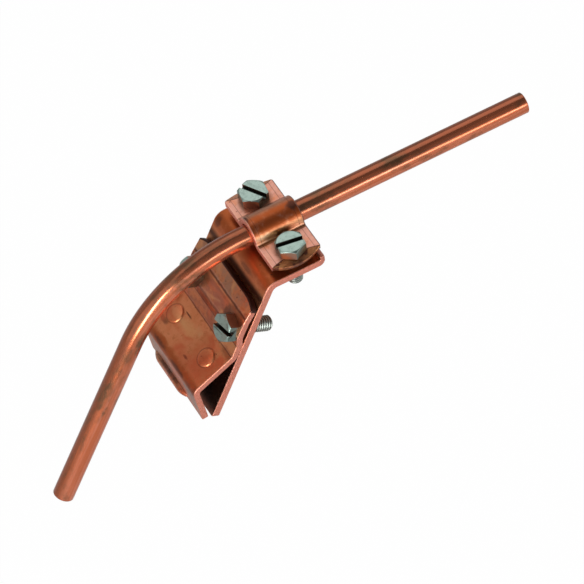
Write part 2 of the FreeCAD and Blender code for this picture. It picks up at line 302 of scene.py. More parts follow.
# %% [markdown]
# ## Sizes
# These are the sizes of the solid model, in metres, as far as the surfaces below need
# them. Lengths along the leg start at its lower end.

# %% Sizes
STRIP_WIDTH = 40.0 * MM
CONDUCTOR_RADIUS = 4.0 * MM
PLATFORM_TOP = -5.7 * MM
LIP_TOP = -4.1 * MM
BRACKET_THICKNESS = 3.0 * MM
BRACKET_BEND = 2.2 * MM
PLATFORM_BACK = 10.9 * MM
PLATFORM_FRONT = 10.0 * MM
LIP_THICKNESS = 1.8 * MM
LIP_INNER_RADIUS = 0.3 * MM
LIP_OUTER_RADIUS = 2.6 * MM
LEG_LENGTH = 62.0 * MM
LEG_CORNER = 1.2 * MM
LEG_ANGLE = math.radians(62)
SCREW_X = 14.0 * MM
JAW_SCREW_HEIGHT = 39.3 * MM
FAR_JAW_SCREW_HEIGHT = JAW_SCREW_HEIGHT + 2.0 * MM
JAW_SCREWS = [(SCREW_X, JAW_SCREW_HEIGHT), (-SCREW_X, FAR_JAW_SCREW_HEIGHT)]
WING_TOP = 0.3 * MM

FORWARD, UP = Vector((0, 1, 0)), Vector((0, 0, 1))
UP_LEG = Vector((0, math.cos(LEG_ANGLE), math.sin(LEG_ANGLE)))
OFF_LEG = Vector((0, -math.sin(LEG_ANGLE), math.cos(LEG_ANGLE)))
CORNER = Vector((0, -PLATFORM_BACK, PLATFORM_TOP - BRACKET_THICKNESS))
LEG_FOOT = CORNER - UP_LEG * LEG_LENGTH + OFF_LEG * BRACKET_THICKNESS


def on_leg(height, off, x=0.0):
    return LEG_FOOT + UP_LEG * height + OFF_LEG * off + Vector((x, 0, 0))


print("leg's lower end, mm:", [round(v / MM, 2) for v in LEG_FOOT])

# %% [markdown]
# ## Flat blanks
# The bracket, the jaw and the saddle were all sheared from flat copper strip, punched, and
# then bent. The same order works well here: each one starts as a flat blank, with its
# outline, its holes and every line where it will bend. A flat blank is easy to mesh with a
# constrained Delaunay triangulation, which keeps the lines it is given. The rim gets a small
# round at each face, because sheared copper never has a razor edge, and the light that
# catches on that round is what makes a sheet look solid. Blanks are in millimetres.

# %% Outlines and their insets
EDGE_ROUND = 0.38      # where a face meets the sheared edge
EDGE_STEPS = 3
EDGE_HOLD = 0.4        # width of the ring of even triangles inside the round
HOLE_POINTS = 56
SHARPEST_LEAN = 0.4    # keeps the inset of a sharp corner from running away


def inset_loop(loop, distance):
    """Move a closed loop towards its left side by a distance."""
    moved = []
    for i, point in enumerate(loop):
        before = (point - loop[i - 1]).normalized()
        after = (loop[(i + 1) % len(loop)] - point).normalized()
        side = Vector((-before.y - after.y, before.x + after.x)).normalized()
        lean = side.dot(Vector((-before.y, before.x)))
        moved.append(point + side * (distance / max(lean, SHARPEST_LEAN)))
    return moved


def circle_loop(centre, radius):
    """Closed loop round a hole, clockwise, so that the sheet is on its left."""
    return [centre + radius * Vector((math.cos(a), math.sin(a)))
            for a in (-2 * math.pi * i / HOLE_POINTS for i in range(HOLE_POINTS))]


def round_corner(corner, before, after, radius, count=7):
    """Points of a small arc in place of a corner, between two directions at right angles."""
    centre = corner - before * radius + after * radius
    return [centre + radius * (before * math.sin(a) - after * math.cos(a))
            for a in (math.pi / 2 * i / (count - 1) for i in range(count))]


def square_end(half, at, upwards, radius):
    """Straight end with two small round corners, in anticlockwise order."""
    along, side = Vector((0, 1)), Vector((1, 0))
    if upwards:
        return (round_corner(Vector((half, at)), along, -side, radius)
                + round_corner(Vector((-half, at)), -side, -along, radius))
    return (round_corner(Vector((-half, at)), -along, side, radius)
            + round_corner(Vector((half, at)), side, along, radius))


def loop_with_sides(half, low, high, rows, low_end, high_end):
    """Closed outline: an end at each side of two long straight edges that have every row's point."""
    inner = [r for r in rows if low < r < high]
    right = [Vector((half, r)) for r in inner]
    left = [Vector((-half, r)) for r in reversed(inner)]
    return low_end + right + high_end + left


# %% Lines that the triangles keep
ROW_MARGIN = 0.06      # gap between the end of a row and the next loop
SHORTEST_ROW = 0.1


def row_crossings(loops, row):
    """Where a line across the blank enters and leaves the sheet."""
    crossings = []
    for loop in loops:
        for i, q in enumerate(loop):
            p = loop[i - 1]
            if (p.y > row) != (q.y > row):
                crossings.append(p.x + (q.x - p.x) * (row - p.y) / (q.y - p.y))
    return sorted(crossings)


def guide_lines(loops, rims, rows, pitch, discs, fine):
    """Points and edges of the rims, the rings and the rows, with the rims' points first."""
    holds = [inset_loop(loop, EDGE_ROUND + EDGE_HOLD) for loop in loops]
    points, edges = [], []

    def add_chain(chain, closed):
        first = len(points)
        points.extend(chain)
        edges.extend((first + i, first + i + 1) for i in range(len(chain) - 1))
        if closed:
            edges.append((first + len(chain) - 1, first))

    for loop in rims + holds + [circle_loop(c, radius) for c, radii in discs for radius in radii]:
        add_chain(loop, True)
    keep_out = holds + [circle_loop(c, max(radii)) for c, radii in discs]
    for row in rows:
        step = min([pitch] + [p for low, high, p in fine if low <= row <= high])
        xs = row_crossings(keep_out, row)
        for low, high in zip(xs[0::2], xs[1::2]):
            low, high = low + ROW_MARGIN, high - ROW_MARGIN
            if high - low >= SHORTEST_ROW:
                add_chain([Vector((x, row)) for x in steps_between(low, high, step)], False)
    return points, edges


# %% The blank's mesh
MERGE_WITHIN = 1e-5


def flat_blank(name, outline, holes, rows, faces_at, pitch=2.2, discs=(), lift=None, fine=()):
    """Closed mesh of a flat sheet: X across, Y along, Z through its thickness.

    faces_at(y) gives the heights of its two faces, discs are (centre, radii) of round
    features to mesh along, lift(x, y) gives how far both faces are pressed up, and fine
    lists (from, to, pitch) for stretches that need a closer mesh."""
    loops = [outline] + holes
    rims = [inset_loop(loop, EDGE_ROUND) for loop in loops]
    points, edges = guide_lines(loops, rims, rows, pitch, discs, fine)
    flat, _, triangles, origins, _, _ = delaunay_2d_cdt(points, edges, [], 0, MERGE_WITHIN)
    place = {source: i for i, sources in enumerate(origins) for source in sources}
    verts = [Vector((p.x, p.y, faces_at(p.y)[side] + (lift(p.x, p.y) if lift else 0)))
             for side in (1, 0) for p in flat]
    back, faces = len(flat), []
    for a, b, c in triangles:
        middle = (flat[a] + flat[b] + flat[c]) / 3
        if len([x for x in row_crossings(rims, middle.y) if x < middle.x]) % 2 == 0:
            continue
        if (flat[b] - flat[a]).cross(flat[c] - flat[a]) < 0:
            b, c = c, b
        faces += [(a, b, c), (back + a, back + c, back + b)]
    start = 0
    for loop, rim in zip(loops, rims):
        faces += rim_wall(verts, loop, [place[start + i] for i in range(len(rim))], back, faces_at)
        start += len(rim)
    blank = mesh_object(name, verts, faces)
    store_flat_place(blank.data, loops)
    with edited(blank.data) as bm:
        bmesh.ops.delete(bm, geom=[v for v in bm.verts if not v.link_faces], context="VERTS")
    return blank


def rim_wall(verts, loop, top, back, faces_at):
    """Faces of the sheared wall with its two small rounds. Adds the points that they need."""
    chains = [top]
    for side, angles in ((1, range(EDGE_STEPS - 1, -1, -1)), (0, range(EDGE_STEPS))):
        for k in angles:
            a = math.pi / 2 * k / EDGE_STEPS
            inner = inset_loop(loop, EDGE_ROUND * (1 - math.cos(a)))
            drop = EDGE_ROUND * (1 - math.sin(a)) * (-1 if side else 1)
            chains.append(list(range(len(verts), len(verts) + len(inner))))
            verts.extend(Vector((p.x, p.y, faces_at(p.y)[side] + drop)) for p in inner)
    chains.append([back + i for i in top])
    turns = [(i, (i + 1) % len(top)) for i in range(len(top))]
    return [(upper[i], lower[i], lower[j], upper[j])
            for upper, lower in zip(chains, chains[1:]) for i, j in turns]


EDGE_SAMPLES = 0.3     # spacing of the points that stand for the sheared edge


def store_flat_place(mesh, loops):
    """Keep each point's place on the flat sheet, and its distance from the nearest sheared edge."""
    close = []
    for loop in loops:
        for i, q in enumerate(loop):
            p = loop[i - 1]
            count = max(1, int((q - p).length / EDGE_SAMPLES))
            close.extend(p.lerp(q, k / count) for k in range(count))
    tree = KDTree(len(close))
    for i, p in enumerate(close):
        tree.insert((p.x, p.y, 0), i)
    tree.balance()
    store_values(mesh, "flat_place", [c for v in mesh.vertices for c in v.co], "FLOAT_VECTOR")
    store_values(mesh, "edge_distance", [tree.find((v.co.x, v.co.y, 0))[2] for v in mesh.vertices])


print("edge round, mm:", EDGE_ROUND)

# %% [markdown]
# ## Bending a blank
# A press brake bends the strip along straight lines, so every bent piece is its flat blank
# wrapped along a path. That is one small tree of geometry nodes for all of them: the
# distance along the blank picks a place on the path, the distance across stays as it is,
# and the height above the sheet goes out along the path's own normal. Change the path, and
# the same blank becomes another bracket.

# %% The bending tree
def bending_tree():
    tree, source = geometry_tree("bend_along_path", ("Path", "Object"),
                                 ("Across", "Vector", (1.0, 0.0, 0.0)), ("Blank Scale", "Float", MM))
    place = Node(tree, "GeometryNodeInputPosition")[0] * source["Blank Scale"]
    across, along, through = split(place)
    path = Node(tree, "GeometryNodeObjectInfo", {"Object": source["Path"]})["Geometry"]
    sample = Node(tree, "GeometryNodeSampleCurve", {"Curves": path, "Length": along}, mode="LENGTH")
    normal = maths("CROSS_PRODUCT", source["Across"], sample["Tangent"])
    bent = sample["Position"] + (source["Across"] * across + normal * through)
    moved = Node(tree, "GeometryNodeSetPosition", {"Geometry": source["Geometry"], "Position": bent})[0]
    finish_geometry(source, moved)
    return tree


BEND = bending_tree()
print("bending tree nodes:", len(BEND.nodes))

# %% Paths
def rounded_path(points, radii, step=3.0):
    """Points of a path with an arc at each inner corner, at most a few degrees a step."""
    path = [points[0]]
    for i, radius in enumerate(radii, 1):
        corner = points[i]
        before = (corner - points[i - 1]).normalized()
        after = (points[i + 1] - corner).normalized()
        turn = before.angle(after)
        reach = radius * math.tan(turn / 2)
        centre = corner + (after - before).normalized() * (radius / math.cos(turn / 2))
        arm = corner - before * reach - centre
        axis = before.cross(after).normalized()
        count = max(2, math.ceil(math.degrees(turn) / step))
        path.extend(centre + Matrix.Rotation(turn * k / count, 3, axis) @ arm
                    for k in range(count + 1))
    return path + [points[-1]]


def path_object(name, points):
    curve = bpy.data.curves.new(name, "CURVE")
    curve.dimensions = "3D"
    spline = curve.splines.new("POLY")
    spline.points.add(len(points) - 1)
    for target, point in zip(spline.points, points):
        target.co = (*point, 1)
    return link(bpy.data.objects.new(name, curve))


class BendPath:
    """Path that a strip is bent along, with lengths in millimetres from its start."""

    def __init__(self, points):
        self.points = points
        self.lengths = [0.0]
        for p, q in zip(points, points[1:]):
            self.lengths.append(self.lengths[-1] + (q - p).length / MM)
        self.end = self.lengths[-1]

    def rows(self, extra=(), pitch=2.5):
        """Rows of the blank: every point of the path, any extra ones, and the long gaps filled."""
        rows = sorted(set(round(v, 4) for v in [*self.lengths, *extra]))
        filled = []
        for low, high in zip(rows, rows[1:]):
            filled.extend(steps_between(low, high, pitch)[:-1])
        return filled + [rows[-1]]

    def length_at(self, axis, value):
        """Length at which the path's coordinate along an axis has a value."""
        places = [p.dot(axis) for p in self.points]
        for i in range(1, len(places)):
            low, high = places[i - 1], places[i]
            if min(low, high) <= value <= max(low, high) and low != high:
                before, after = self.lengths[i - 1], self.lengths[i]
                return before + (after - before) * (value - low) / (high - low)
        raise ValueError(f"the path doesn't reach {value}")


def bend(blank, path, across, material):
    """Wrap a flat blank along a path, and drop the curve afterwards."""
    curve = path_object(blank.name + "_path", path.points)
    bent = run_tree(blank, BEND, Path=curve, Across=across, Finish=material)
    bpy.data.objects.remove(curve)
    return bent


# %% [markdown]
# ## Finishes
# Copper mirrors what is round it, so most of what makes it look real is small: where it is
# clean it is pink, where it has been handled or heated it is brown, the rolled face has a
# faint grain along the strip, and the sheared edge is paler and torn. Each of these is one
# small node group that puts out a mask, used in several materials with different values.
# The strips read the place on their own flat blank, so a grain follows every bend.

# %% Node shortcuts
def attribute(tree, name, output="Fac"):
    return Node(tree, "ShaderNodeAttribute", attribute_name=name)[output]


def place_in_mm(tree):
    """The place on the object, in millimetres."""
    return Node(tree, "ShaderNodeTexCoord")["Object"] * (1 / MM)


def tinted(colour, amount, tint):
    """Lay a tint over a colour, as far as a mask between 0 and 1 says."""
    return Node(amount.tree, "ShaderNodeMix", {0: amount, 6: colour, 7: tint},
                data_type="RGBA", blend_type="MIX")[2]


def smooth_between(value, low, high):
    """0 below one value, 1 above another, with a soft step between."""
    return Node(value.tree, "ShaderNodeMapRange", {"Value": value, "From Min": low, "From Max": high},
                interpolation_type="SMOOTHSTEP")[0]


def band(value, centre, half_width, softness):
    """1 within a distance of a value and 0 outside it."""
    away = maths("ABSOLUTE", value - centre)
    return 1.0 - smooth_between(away, half_width - softness, half_width + softness)


def noise(vector, scale, detail, rough=0.55, distortion=0.0):
    return Node(vector.tree, "ShaderNodeTexNoise", {
        "Vector": vector, "Scale": scale, "Detail": detail, "Roughness": rough,
        "Distortion": distortion})[0]


def distance_from(flat, across, along, wide=1.0, long=1.0):
    """Distance on the blank from a point, measured in units of its own in each direction."""
    return maths("LENGTH", (flat - (across, along, 0.0)) * (1.0 / wide, 1.0 / long, 0.0))


# %% Shared effects
GRAIN_STRETCH = (6.0, 0.12, 1.0)


def mask_group(name, inputs, build):
    """Shader node group with named inputs, whose output is a mask between 0 and 1."""
    tree, source = new_tree(name, "ShaderNodeTree", [("Place", "Vector"), *inputs], [("Mask", "Float")])
    Node(tree, "NodeGroupOutput", {0: build(source)})
    return tree


def tarnish(source):
    """Blotches with ragged borders. The amount says how much of the face they cover."""
    large = noise(source["Place"], source["Scale"], 4.0, 0.6, 0.4)
    small = noise(source["Place"], source["Scale"] * 4.3, 4.0, 0.65)
    low = 0.62 - source["Amount"] * 0.34
    return smooth_between(large * 0.7 + small * 0.3, low, low + 0.16)


def grain(source):
    """Fine lines along the second axis of the place, as rolling leaves them."""
    return noise(source["Place"] * GRAIN_STRETCH, source["Scale"], 5.0, 0.7)


def specks(source):
    """Small round dots in a share of the cells of a Voronoi pattern."""
    cells = Node(source.tree, "ShaderNodeTexVoronoi",
                 {"Vector": source["Place"], "Scale": source["Scale"], "Randomness": 1.0})
    dots = 1.0 - smooth_between(cells["Distance"], 0.06, source["Size"])
    pick = Node(source.tree, "ShaderNodeSeparateColor", {0: cells["Color"]})[0]
    return dots * maths("LESS_THAN", pick, source["Share"])


TARNISH = mask_group("tarnish", [("Scale", "Float", 0.12), ("Amount", "Float", 0.5)], tarnish)
GRAIN = mask_group("rolled_grain", [("Scale", "Float", 1.0)], grain)
SPECKS = mask_group("specks", [("Scale", "Float", 0.4), ("Size", "Float", 0.16),
                               ("Share", "Float", 0.3)], specks)


def mask(group, **inputs):
    """Place a shared effect in a material, with values of its own."""
    return Node(inputs["Place"].tree, "ShaderNodeGroup", inputs, node_tree=group)[0]


print("shared groups:", [g.name for g in (TARNISH, GRAIN, SPECKS)])

# %% Copper colours
CLEAN_COPPER_AND_SHEEN = (0.67, 0.330, 0.250)
ORANGE_COPPER = (0.70, 0.245, 0.11)
WARM_COPPER = (0.64, 0.205, 0.085)
RED_COPPER = (0.62, 0.125, 0.055)
GOLD_COPPER_AND_SHEEN = (0.72, 0.33, 0.14)
ROOT_HIGHLIGHT_COPPER = (0.98, 0.64, 0.40)
RIM_HIGHLIGHT_COPPER = (0.96, 0.50, 0.38)
SHEARED_COPPER = (0.90, 0.36, 0.28)
BROWN_COPPER = (0.38, 0.085, 0.024)
RUSSET = (0.30, 0.08, 0.035)
HEAD_SHADOW_BROWN = (0.20, 0.075, 0.04)
DOME_RING_SHADE = (0.22, 0.07, 0.035)
# The darkest skin tone serves for real smudges and for painted shade alike
DARK_SKIN_AND_SHADE = (0.075, 0.030, 0.022)
SHADOW_BLACK = (0.022, 0.010, 0.009)
UNEVEN_GOLD = (0.66, 0.30, 0.135)
UNEVEN_RED = (0.62, 0.15, 0.065)
PRESSED_DARK = (0.12, 0.036, 0.016)
PRESSED_LIGHT = (0.66, 0.25, 0.09)
PRESSED_GLINT = (0.85, 0.38, 0.15)
PRESSED_FAR = (0.66, 0.32, 0.20)


def new_material(name, metallic=1.0):
    """New material, a metal unless told otherwise. Returns it, its tree and its shader."""
    material = bpy.data.materials.new(name)
    material.use_nodes = True
    shader = material.node_tree.nodes["Principled BSDF"]
    shader.inputs["Metallic"].default_value = metallic
    return material, material.node_tree, shader


BUMP_DEPTH = 0.04 * MM


def finish_metal(tree, shader, colour, roughness, height, strength=0.25):
    """Link a finish to its shader, with the height as a fine bump."""
    inputs = {"Height": height, "Strength": strength, "Distance": BUMP_DEPTH}
    bump = Node(tree, "ShaderNodeBump", inputs)[0]
    for title, wire in (("Base Color", colour), ("Roughness", roughness), ("Normal", bump)):
        plug(tree, shader.inputs[title], wire)


# %% [markdown]
# A strip's finish is built up in layers: the tone of the rolled face, tarnish and dirt,
# painted shade inside the pocket, round the screws, in the creases, round the domes and in
# the folds, then the sheared wall with a painted highlight at its rounds, the pressed ends,
# and painted shadows last. Each step lays one tint over the colour so far, where a mask says
# so. All lengths are millimetres on the flat blank, and noise scales are per millimetre.

# %% The rolled face
def uneven_tone(colour, place, amount):
    """Slow changes of tone, to gold and to red, and dark smudges."""
    slow = noise(place, 0.055, 3.0, 0.6, 0.8)
    colour = tinted(colour, smooth_between(slow, 0.50, 0.64) * amount, UNEVEN_GOLD)
    colour = tinted(colour, (1.0 - smooth_between(slow, 0.36, 0.47)) * amount, UNEVEN_RED)
    smudge = mask(TARNISH, Place=place, Scale=0.19, Amount=0.02)
    return tinted(colour, smudge * amount * 0.8, DARK_SKIN_AND_SHADE)


def spots(colour, flat, breakup, marks):
    """Marks with ragged borders: (across, along, half sizes across and along, strength, tint)."""
    for across, along, wide, long, strength, tint in marks:
        away = distance_from(flat, across, along, wide, long) + (breakup - 0.5) * 1.5
        colour = tinted(colour, (1.0 - smooth_between(away, 0.35, 1.15)) * strength, tint)
    return colour


def shadow_round_screws(colour, flat, breakup, screws):
    """A ragged ring of painted shadow round each head, whose middle is (across, along)."""
    for across, along in screws:
        away = distance_from(flat, across, along) + (breakup - 0.5) * 1.6
        colour = tinted(colour, (1.0 - smooth_between(away, 5.2, 7.0)) * 0.6, HEAD_SHADOW_BROWN)
    return colour


def shaded_dome_rings(colour, flat, rings):
    """Thin rings of painted shade round the domes: (across, along, radius, strength)."""
    for across, along, radius, strength in rings:
        circle = band(distance_from(flat, across, along), radius, 0.2, 0.25)
        colour = tinted(colour, circle * strength, DOME_RING_SHADE)
    return colour


def fold_shade_and_highlight(colour, along, breakup, folds):
    """Thin dark lines of painted shade at the bends, each with a line of painted highlight beside it.
    """
    for centre, strength in folds:
        wander = along + (breakup - 0.5) * 0.9
        colour = tinted(colour, band(wander, centre + 0.7, 0.3, 0.3) * (strength * 0.35), CLEAN_COPPER_AND_SHEEN)
        colour = tinted(colour, band(wander, centre, 0.36, 0.45) * strength, DARK_SKIN_AND_SHADE)
    return colour


# %% Pressed ends
def pressed_ends(colour, flat, place, breakup, middle, reach, bow, half):
    """Bronze faces past a curved crease near both ends, with painted glints and a line of painted shade
    along the crease, and a dark wall on the far side.

    The crease is reach away from the middle, and bow further out at the sides."""
    across, along, _ = split(flat)
    from_middle = along - middle
    past = maths("ABSOLUTE", from_middle) - (across * across * (bow / half ** 2) + reach)
    tone = tinted(PRESSED_DARK, smooth_between(breakup, 0.42, 0.56), PRESSED_LIGHT)
    # Painted glints on the pressed faces
    glints = noise(place * (0.5, 1.6, 1.0), 0.5, 3.0, 0.6)
    tone = tinted(tone, smooth_between(glints, 0.53, 0.60), PRESSED_GLINT)
    tone = tinted(tone, band(across, 0.0, 3.4, 2.2) * 0.6, DARK_SKIN_AND_SHADE)
    tone = tinted(tone, maths("LESS_THAN", from_middle, 0.0) * 0.8, PRESSED_FAR)
    colour = tinted(colour, smooth_between(past, -0.25, 0.2) * 0.9, tone)
    # A line of painted shade along the crease
    colour = tinted(colour, band(past, 0.0, 0.18, 0.14) * 0.8, DARK_SKIN_AND_SHADE)
    far_wall = smooth_between(across * -1.0, half - 0.5, half - 0.3)
    return tinted(colour, far_wall * 0.85, DARK_SKIN_AND_SHADE)


# %% The strip's material
def strip_material(name, clean, tarnish_amount, seed, brown, uneven, marks, tints=(), screws=(),
                   creases=(), rings=(), folds=(), inner_face=None, side_line=None, pressed=None,
                   black=None, shaded_end_wall=None, polished=None):
    """Copper strip. Bands are (centre, half width, softness, strength) along the blank.

    brown is a patchy band, black a band of painted shadow, and shaded_end_wall paints shade on the
    sheared wall only. tints and creases are bands with their own colour, creases over all else
    on the face; the creases are painted shade. inner_face is the height of a face that lies
    inside the clamp, and how far along the blank it is painted with shade. side_line is how far
    from the middle a fine groove runs along each side, with painted shade in it. polished ends
    in how much smoother its band is."""
    material, tree, shader = new_material(name)
    flat, edge = attribute(tree, "flat_place", "Vector"), attribute(tree, "edge_distance")
    place = flat + (seed, seed * 1.7, 0.0)
    across, along, through = split(flat)
    breakup = noise(place, 0.35, 4.0, 0.6)
    lines = mask(GRAIN, Place=place, Scale=0.9)
    dots = mask(SPECKS, Place=place, Scale=0.33, Size=0.13, Share=0.35)

    def banded(colour, bands, mask_too=None):
        for centre, half_width, softness, strength, tint in bands:
            amount = band(along, centre, half_width, softness) * strength
            colour = tinted(colour, amount * mask_too if mask_too else amount, tint)
        return colour

    colour = banded(clean, tints)
    blotches = mask(TARNISH, Place=place, Scale=0.11, Amount=tarnish_amount)
    colour = tinted(colour, blotches * 0.8, WARM_COPPER)
    fine = mask(TARNISH, Place=place, Scale=0.55, Amount=0.35)
    colour = tinted(colour, fine * 0.45, BROWN_COPPER)
    colour = uneven_tone(colour, place, uneven)
    zone = band(along, *brown[:3])
    browned = smooth_between(breakup * 0.9 + zone * 0.55, 0.55, 1.0) * zone * brown[3]
    colour = tinted(colour, browned, BROWN_COPPER)
    colour = tinted(colour, dots * 0.75, DARK_SKIN_AND_SHADE)
    # Painted shade on the face that lies inside the pocket
    if inner_face:
        level, reach = inner_face
        inner = band(through, level, 0.3, 0.1) * (1.0 - smooth_between(along, reach - 1.0, reach + 1.0))
        colour = tinted(colour, inner * 0.85, DARK_SKIN_AND_SHADE)
    colour = spots(colour, flat, breakup, marks)
    # Painted shadow round the heads, then painted shade in the creases, round the domes and in the
    # folds
    colour = shadow_round_screws(colour, flat, breakup, screws)
    colour = banded(colour, creases)
    colour = shaded_dome_rings(colour, flat, rings)
    colour = fold_shade_and_highlight(colour, along, breakup, folds)
    if side_line:
        # The groove's dark line is painted shade
        groove = band(maths("ABSOLUTE", across), side_line, 0.09, 0.06)
        colour = tinted(colour, groove * 0.6, DARK_SKIN_AND_SHADE)

    # The sheared wall is pale and torn, and the round at each face gets a painted highlight
    wall = 1.0 - smooth_between(edge, 0.03, 0.2)
    torn = noise(flat * (0.5, 0.5, 3.0), 1.6, 5.0, 0.7)
    colour = tinted(colour, wall, tinted(SHEARED_COPPER, smooth_between(torn, 0.42, 0.68), WARM_COPPER))
    colour = tinted(colour, band(edge, 0.3, 0.12, 0.08) * 0.7, RIM_HIGHLIGHT_COPPER)
    if pressed:
        colour = pressed_ends(colour, flat, place, breakup, *pressed)
    # A painted shadow across the faces, and painted shade on the sheared wall near an end
    if black:
        colour = banded(colour, [(*black, SHADOW_BLACK)], 1.0 - wall)
    if shaded_end_wall:
        colour = banded(colour, [(*shaded_end_wall, SHADOW_BLACK)], 1.0 - smooth_between(edge, 0.35, 0.75))

    rough = lines * 0.14 + 0.30 + browned * 0.08 + wall * 0.12
    if polished:
        rough = rough - band(along, *polished[:3]) * polished[3]
    height = lines * 0.7 + torn * wall * 1.6 - dots * 1.2
    if side_line:
        height = height - groove * 2.5
    finish_metal(tree, shader, colour, rough, height)
    return material


# %% [markdown]
# ## Bracket
# One strip: the leg that goes down the gutter's face, a bend, the short platform under the
# conductor, and a low lip along its front that the saddle closes against. The path follows
# the strip's outer face, so that the sheet's other face may come closer where the lip is
# pressed thinner. The four holes are threaded. A brown band lies on the platform and in the
# bend, and a black band just above the jaw's end is a painted shadow.

# %% Bracket finish
# The black band is the painted shadow of the jaw's end, the dark end of the lip's wall is painted
# shade, and the face inside the pocket is painted with shade
BRACKET_COPPER = strip_material(
    "bracket_copper", WARM_COPPER, 0.75, 3.0, brown=(72.0, 13.0, 4.0, 0.9), uneven=0.6,
    black=(56.0, 1.5, 1.3, 0.85), shaded_end_wall=(86.2, 1.6, 1.3, 0.5), inner_face=(0.0, 34.0),
    marks=[(-17.5, 61.5, 2.0, 3.2, 0.6, DARK_SKIN_AND_SHADE),
           (6.0, 59.5, 5.0, 1.6, 0.5, DARK_SKIN_AND_SHADE),
           (-3.0, 62.0, 8.0, 2.0, 0.5, BROWN_COPPER)])
print("bracket finish:", BRACKET_COPPER.name)

# %% Bracket
TAPPED_HOLE = 3.0
LIP_CORNER = 0.9
LIP_ROUND_CENTRE = Vector((0.5, 0.7))      # seen from the inner round's centre, in millimetres
ACROSS_X = (1.0, 0.0, 0.0)


def bracket_path():
    bend_corner = CORNER + Vector((0, -BRACKET_THICKNESS * math.tan(LEG_ANGLE / 2), BRACKET_THICKNESS))
    lip_corner = Vector((0, PLATFORM_FRONT - LIP_THICKNESS, PLATFORM_TOP))
    lip_end = Vector((0, lip_corner.y, LIP_TOP))
    return BendPath(rounded_path([LEG_FOOT, bend_corner, lip_corner, lip_end],
                                 [BRACKET_BEND + BRACKET_THICKNESS, LIP_INNER_RADIUS], step=4.5))


def lip_faces(low, high):
    """Heights of the bracket's two faces, whose lip is thinner and has a round outer corner."""
    def faces_at(y):
        if y >= high:
            return -LIP_THICKNESS / MM, 0.0
        if y <= low:
            return -BRACKET_THICKNESS / MM, 0.0
        # The lip's outer corner is round about a centre of its own
        turn = (y - low) / (high - low) * math.pi / 2
        ray = Vector((math.sin(turn), -math.cos(turn)))
        along, off = LIP_ROUND_CENTRE.dot(ray), LIP_ROUND_CENTRE.length_squared
        inner, outer = LIP_INNER_RADIUS / MM, LIP_OUTER_RADIUS / MM
        reach = math.sqrt(along * along - off + outer * outer) - along
        return inner - min(reach, (LIP_THICKNESS / MM + inner) / max(ray.x, 1e-6)), 0.0
    return faces_at


def make_bracket():
    path = bracket_path()
    rows = path.rows()
    low = path.length_at(FORWARD, PLATFORM_FRONT - LIP_THICKNESS - LIP_INNER_RADIUS)
    high = path.length_at(UP, PLATFORM_TOP + LIP_INNER_RADIUS)
    half, corner = STRIP_WIDTH / 2 / MM, LEG_CORNER / MM
    outline = loop_with_sides(half, corner, path.end - LIP_CORNER, rows,
                              square_end(half, 0.0, False, corner),
                              square_end(half, path.end, True, LIP_CORNER))
    on_platform = path.length_at(FORWARD, 0.0)
    holes = [circle_loop(Vector((x / MM, y)), TAPPED_HOLE)
             for x, height in JAW_SCREWS for y in (height / MM, on_platform)]
    blank = flat_blank("bracket_strip", outline, holes, rows, lip_faces(low, high))
    return bend(blank, path, ACROSS_X, BRACKET_COPPER)


dress(make_bracket(), BRACKET_COPPER, "bracket", "bracket")

# %% [markdown]
# ## Jaw
# The jaw is a second strip, bent five times: a lip that rests on the leg, a seat under the
# two screws, a step and a heel, then a slope that stands off the leg and a hook that comes
# back to it. The gutter's bead lies in that pocket. Two round domes are pressed up in the
# slope, and a half-round ridge lies along the hook's tip.

# %% Jaw finish
DOME_X, DOME_ALONG = 12.0, 26.98
RIDGE_X, RIDGE_FROM_TIP = -4.0, 1.8

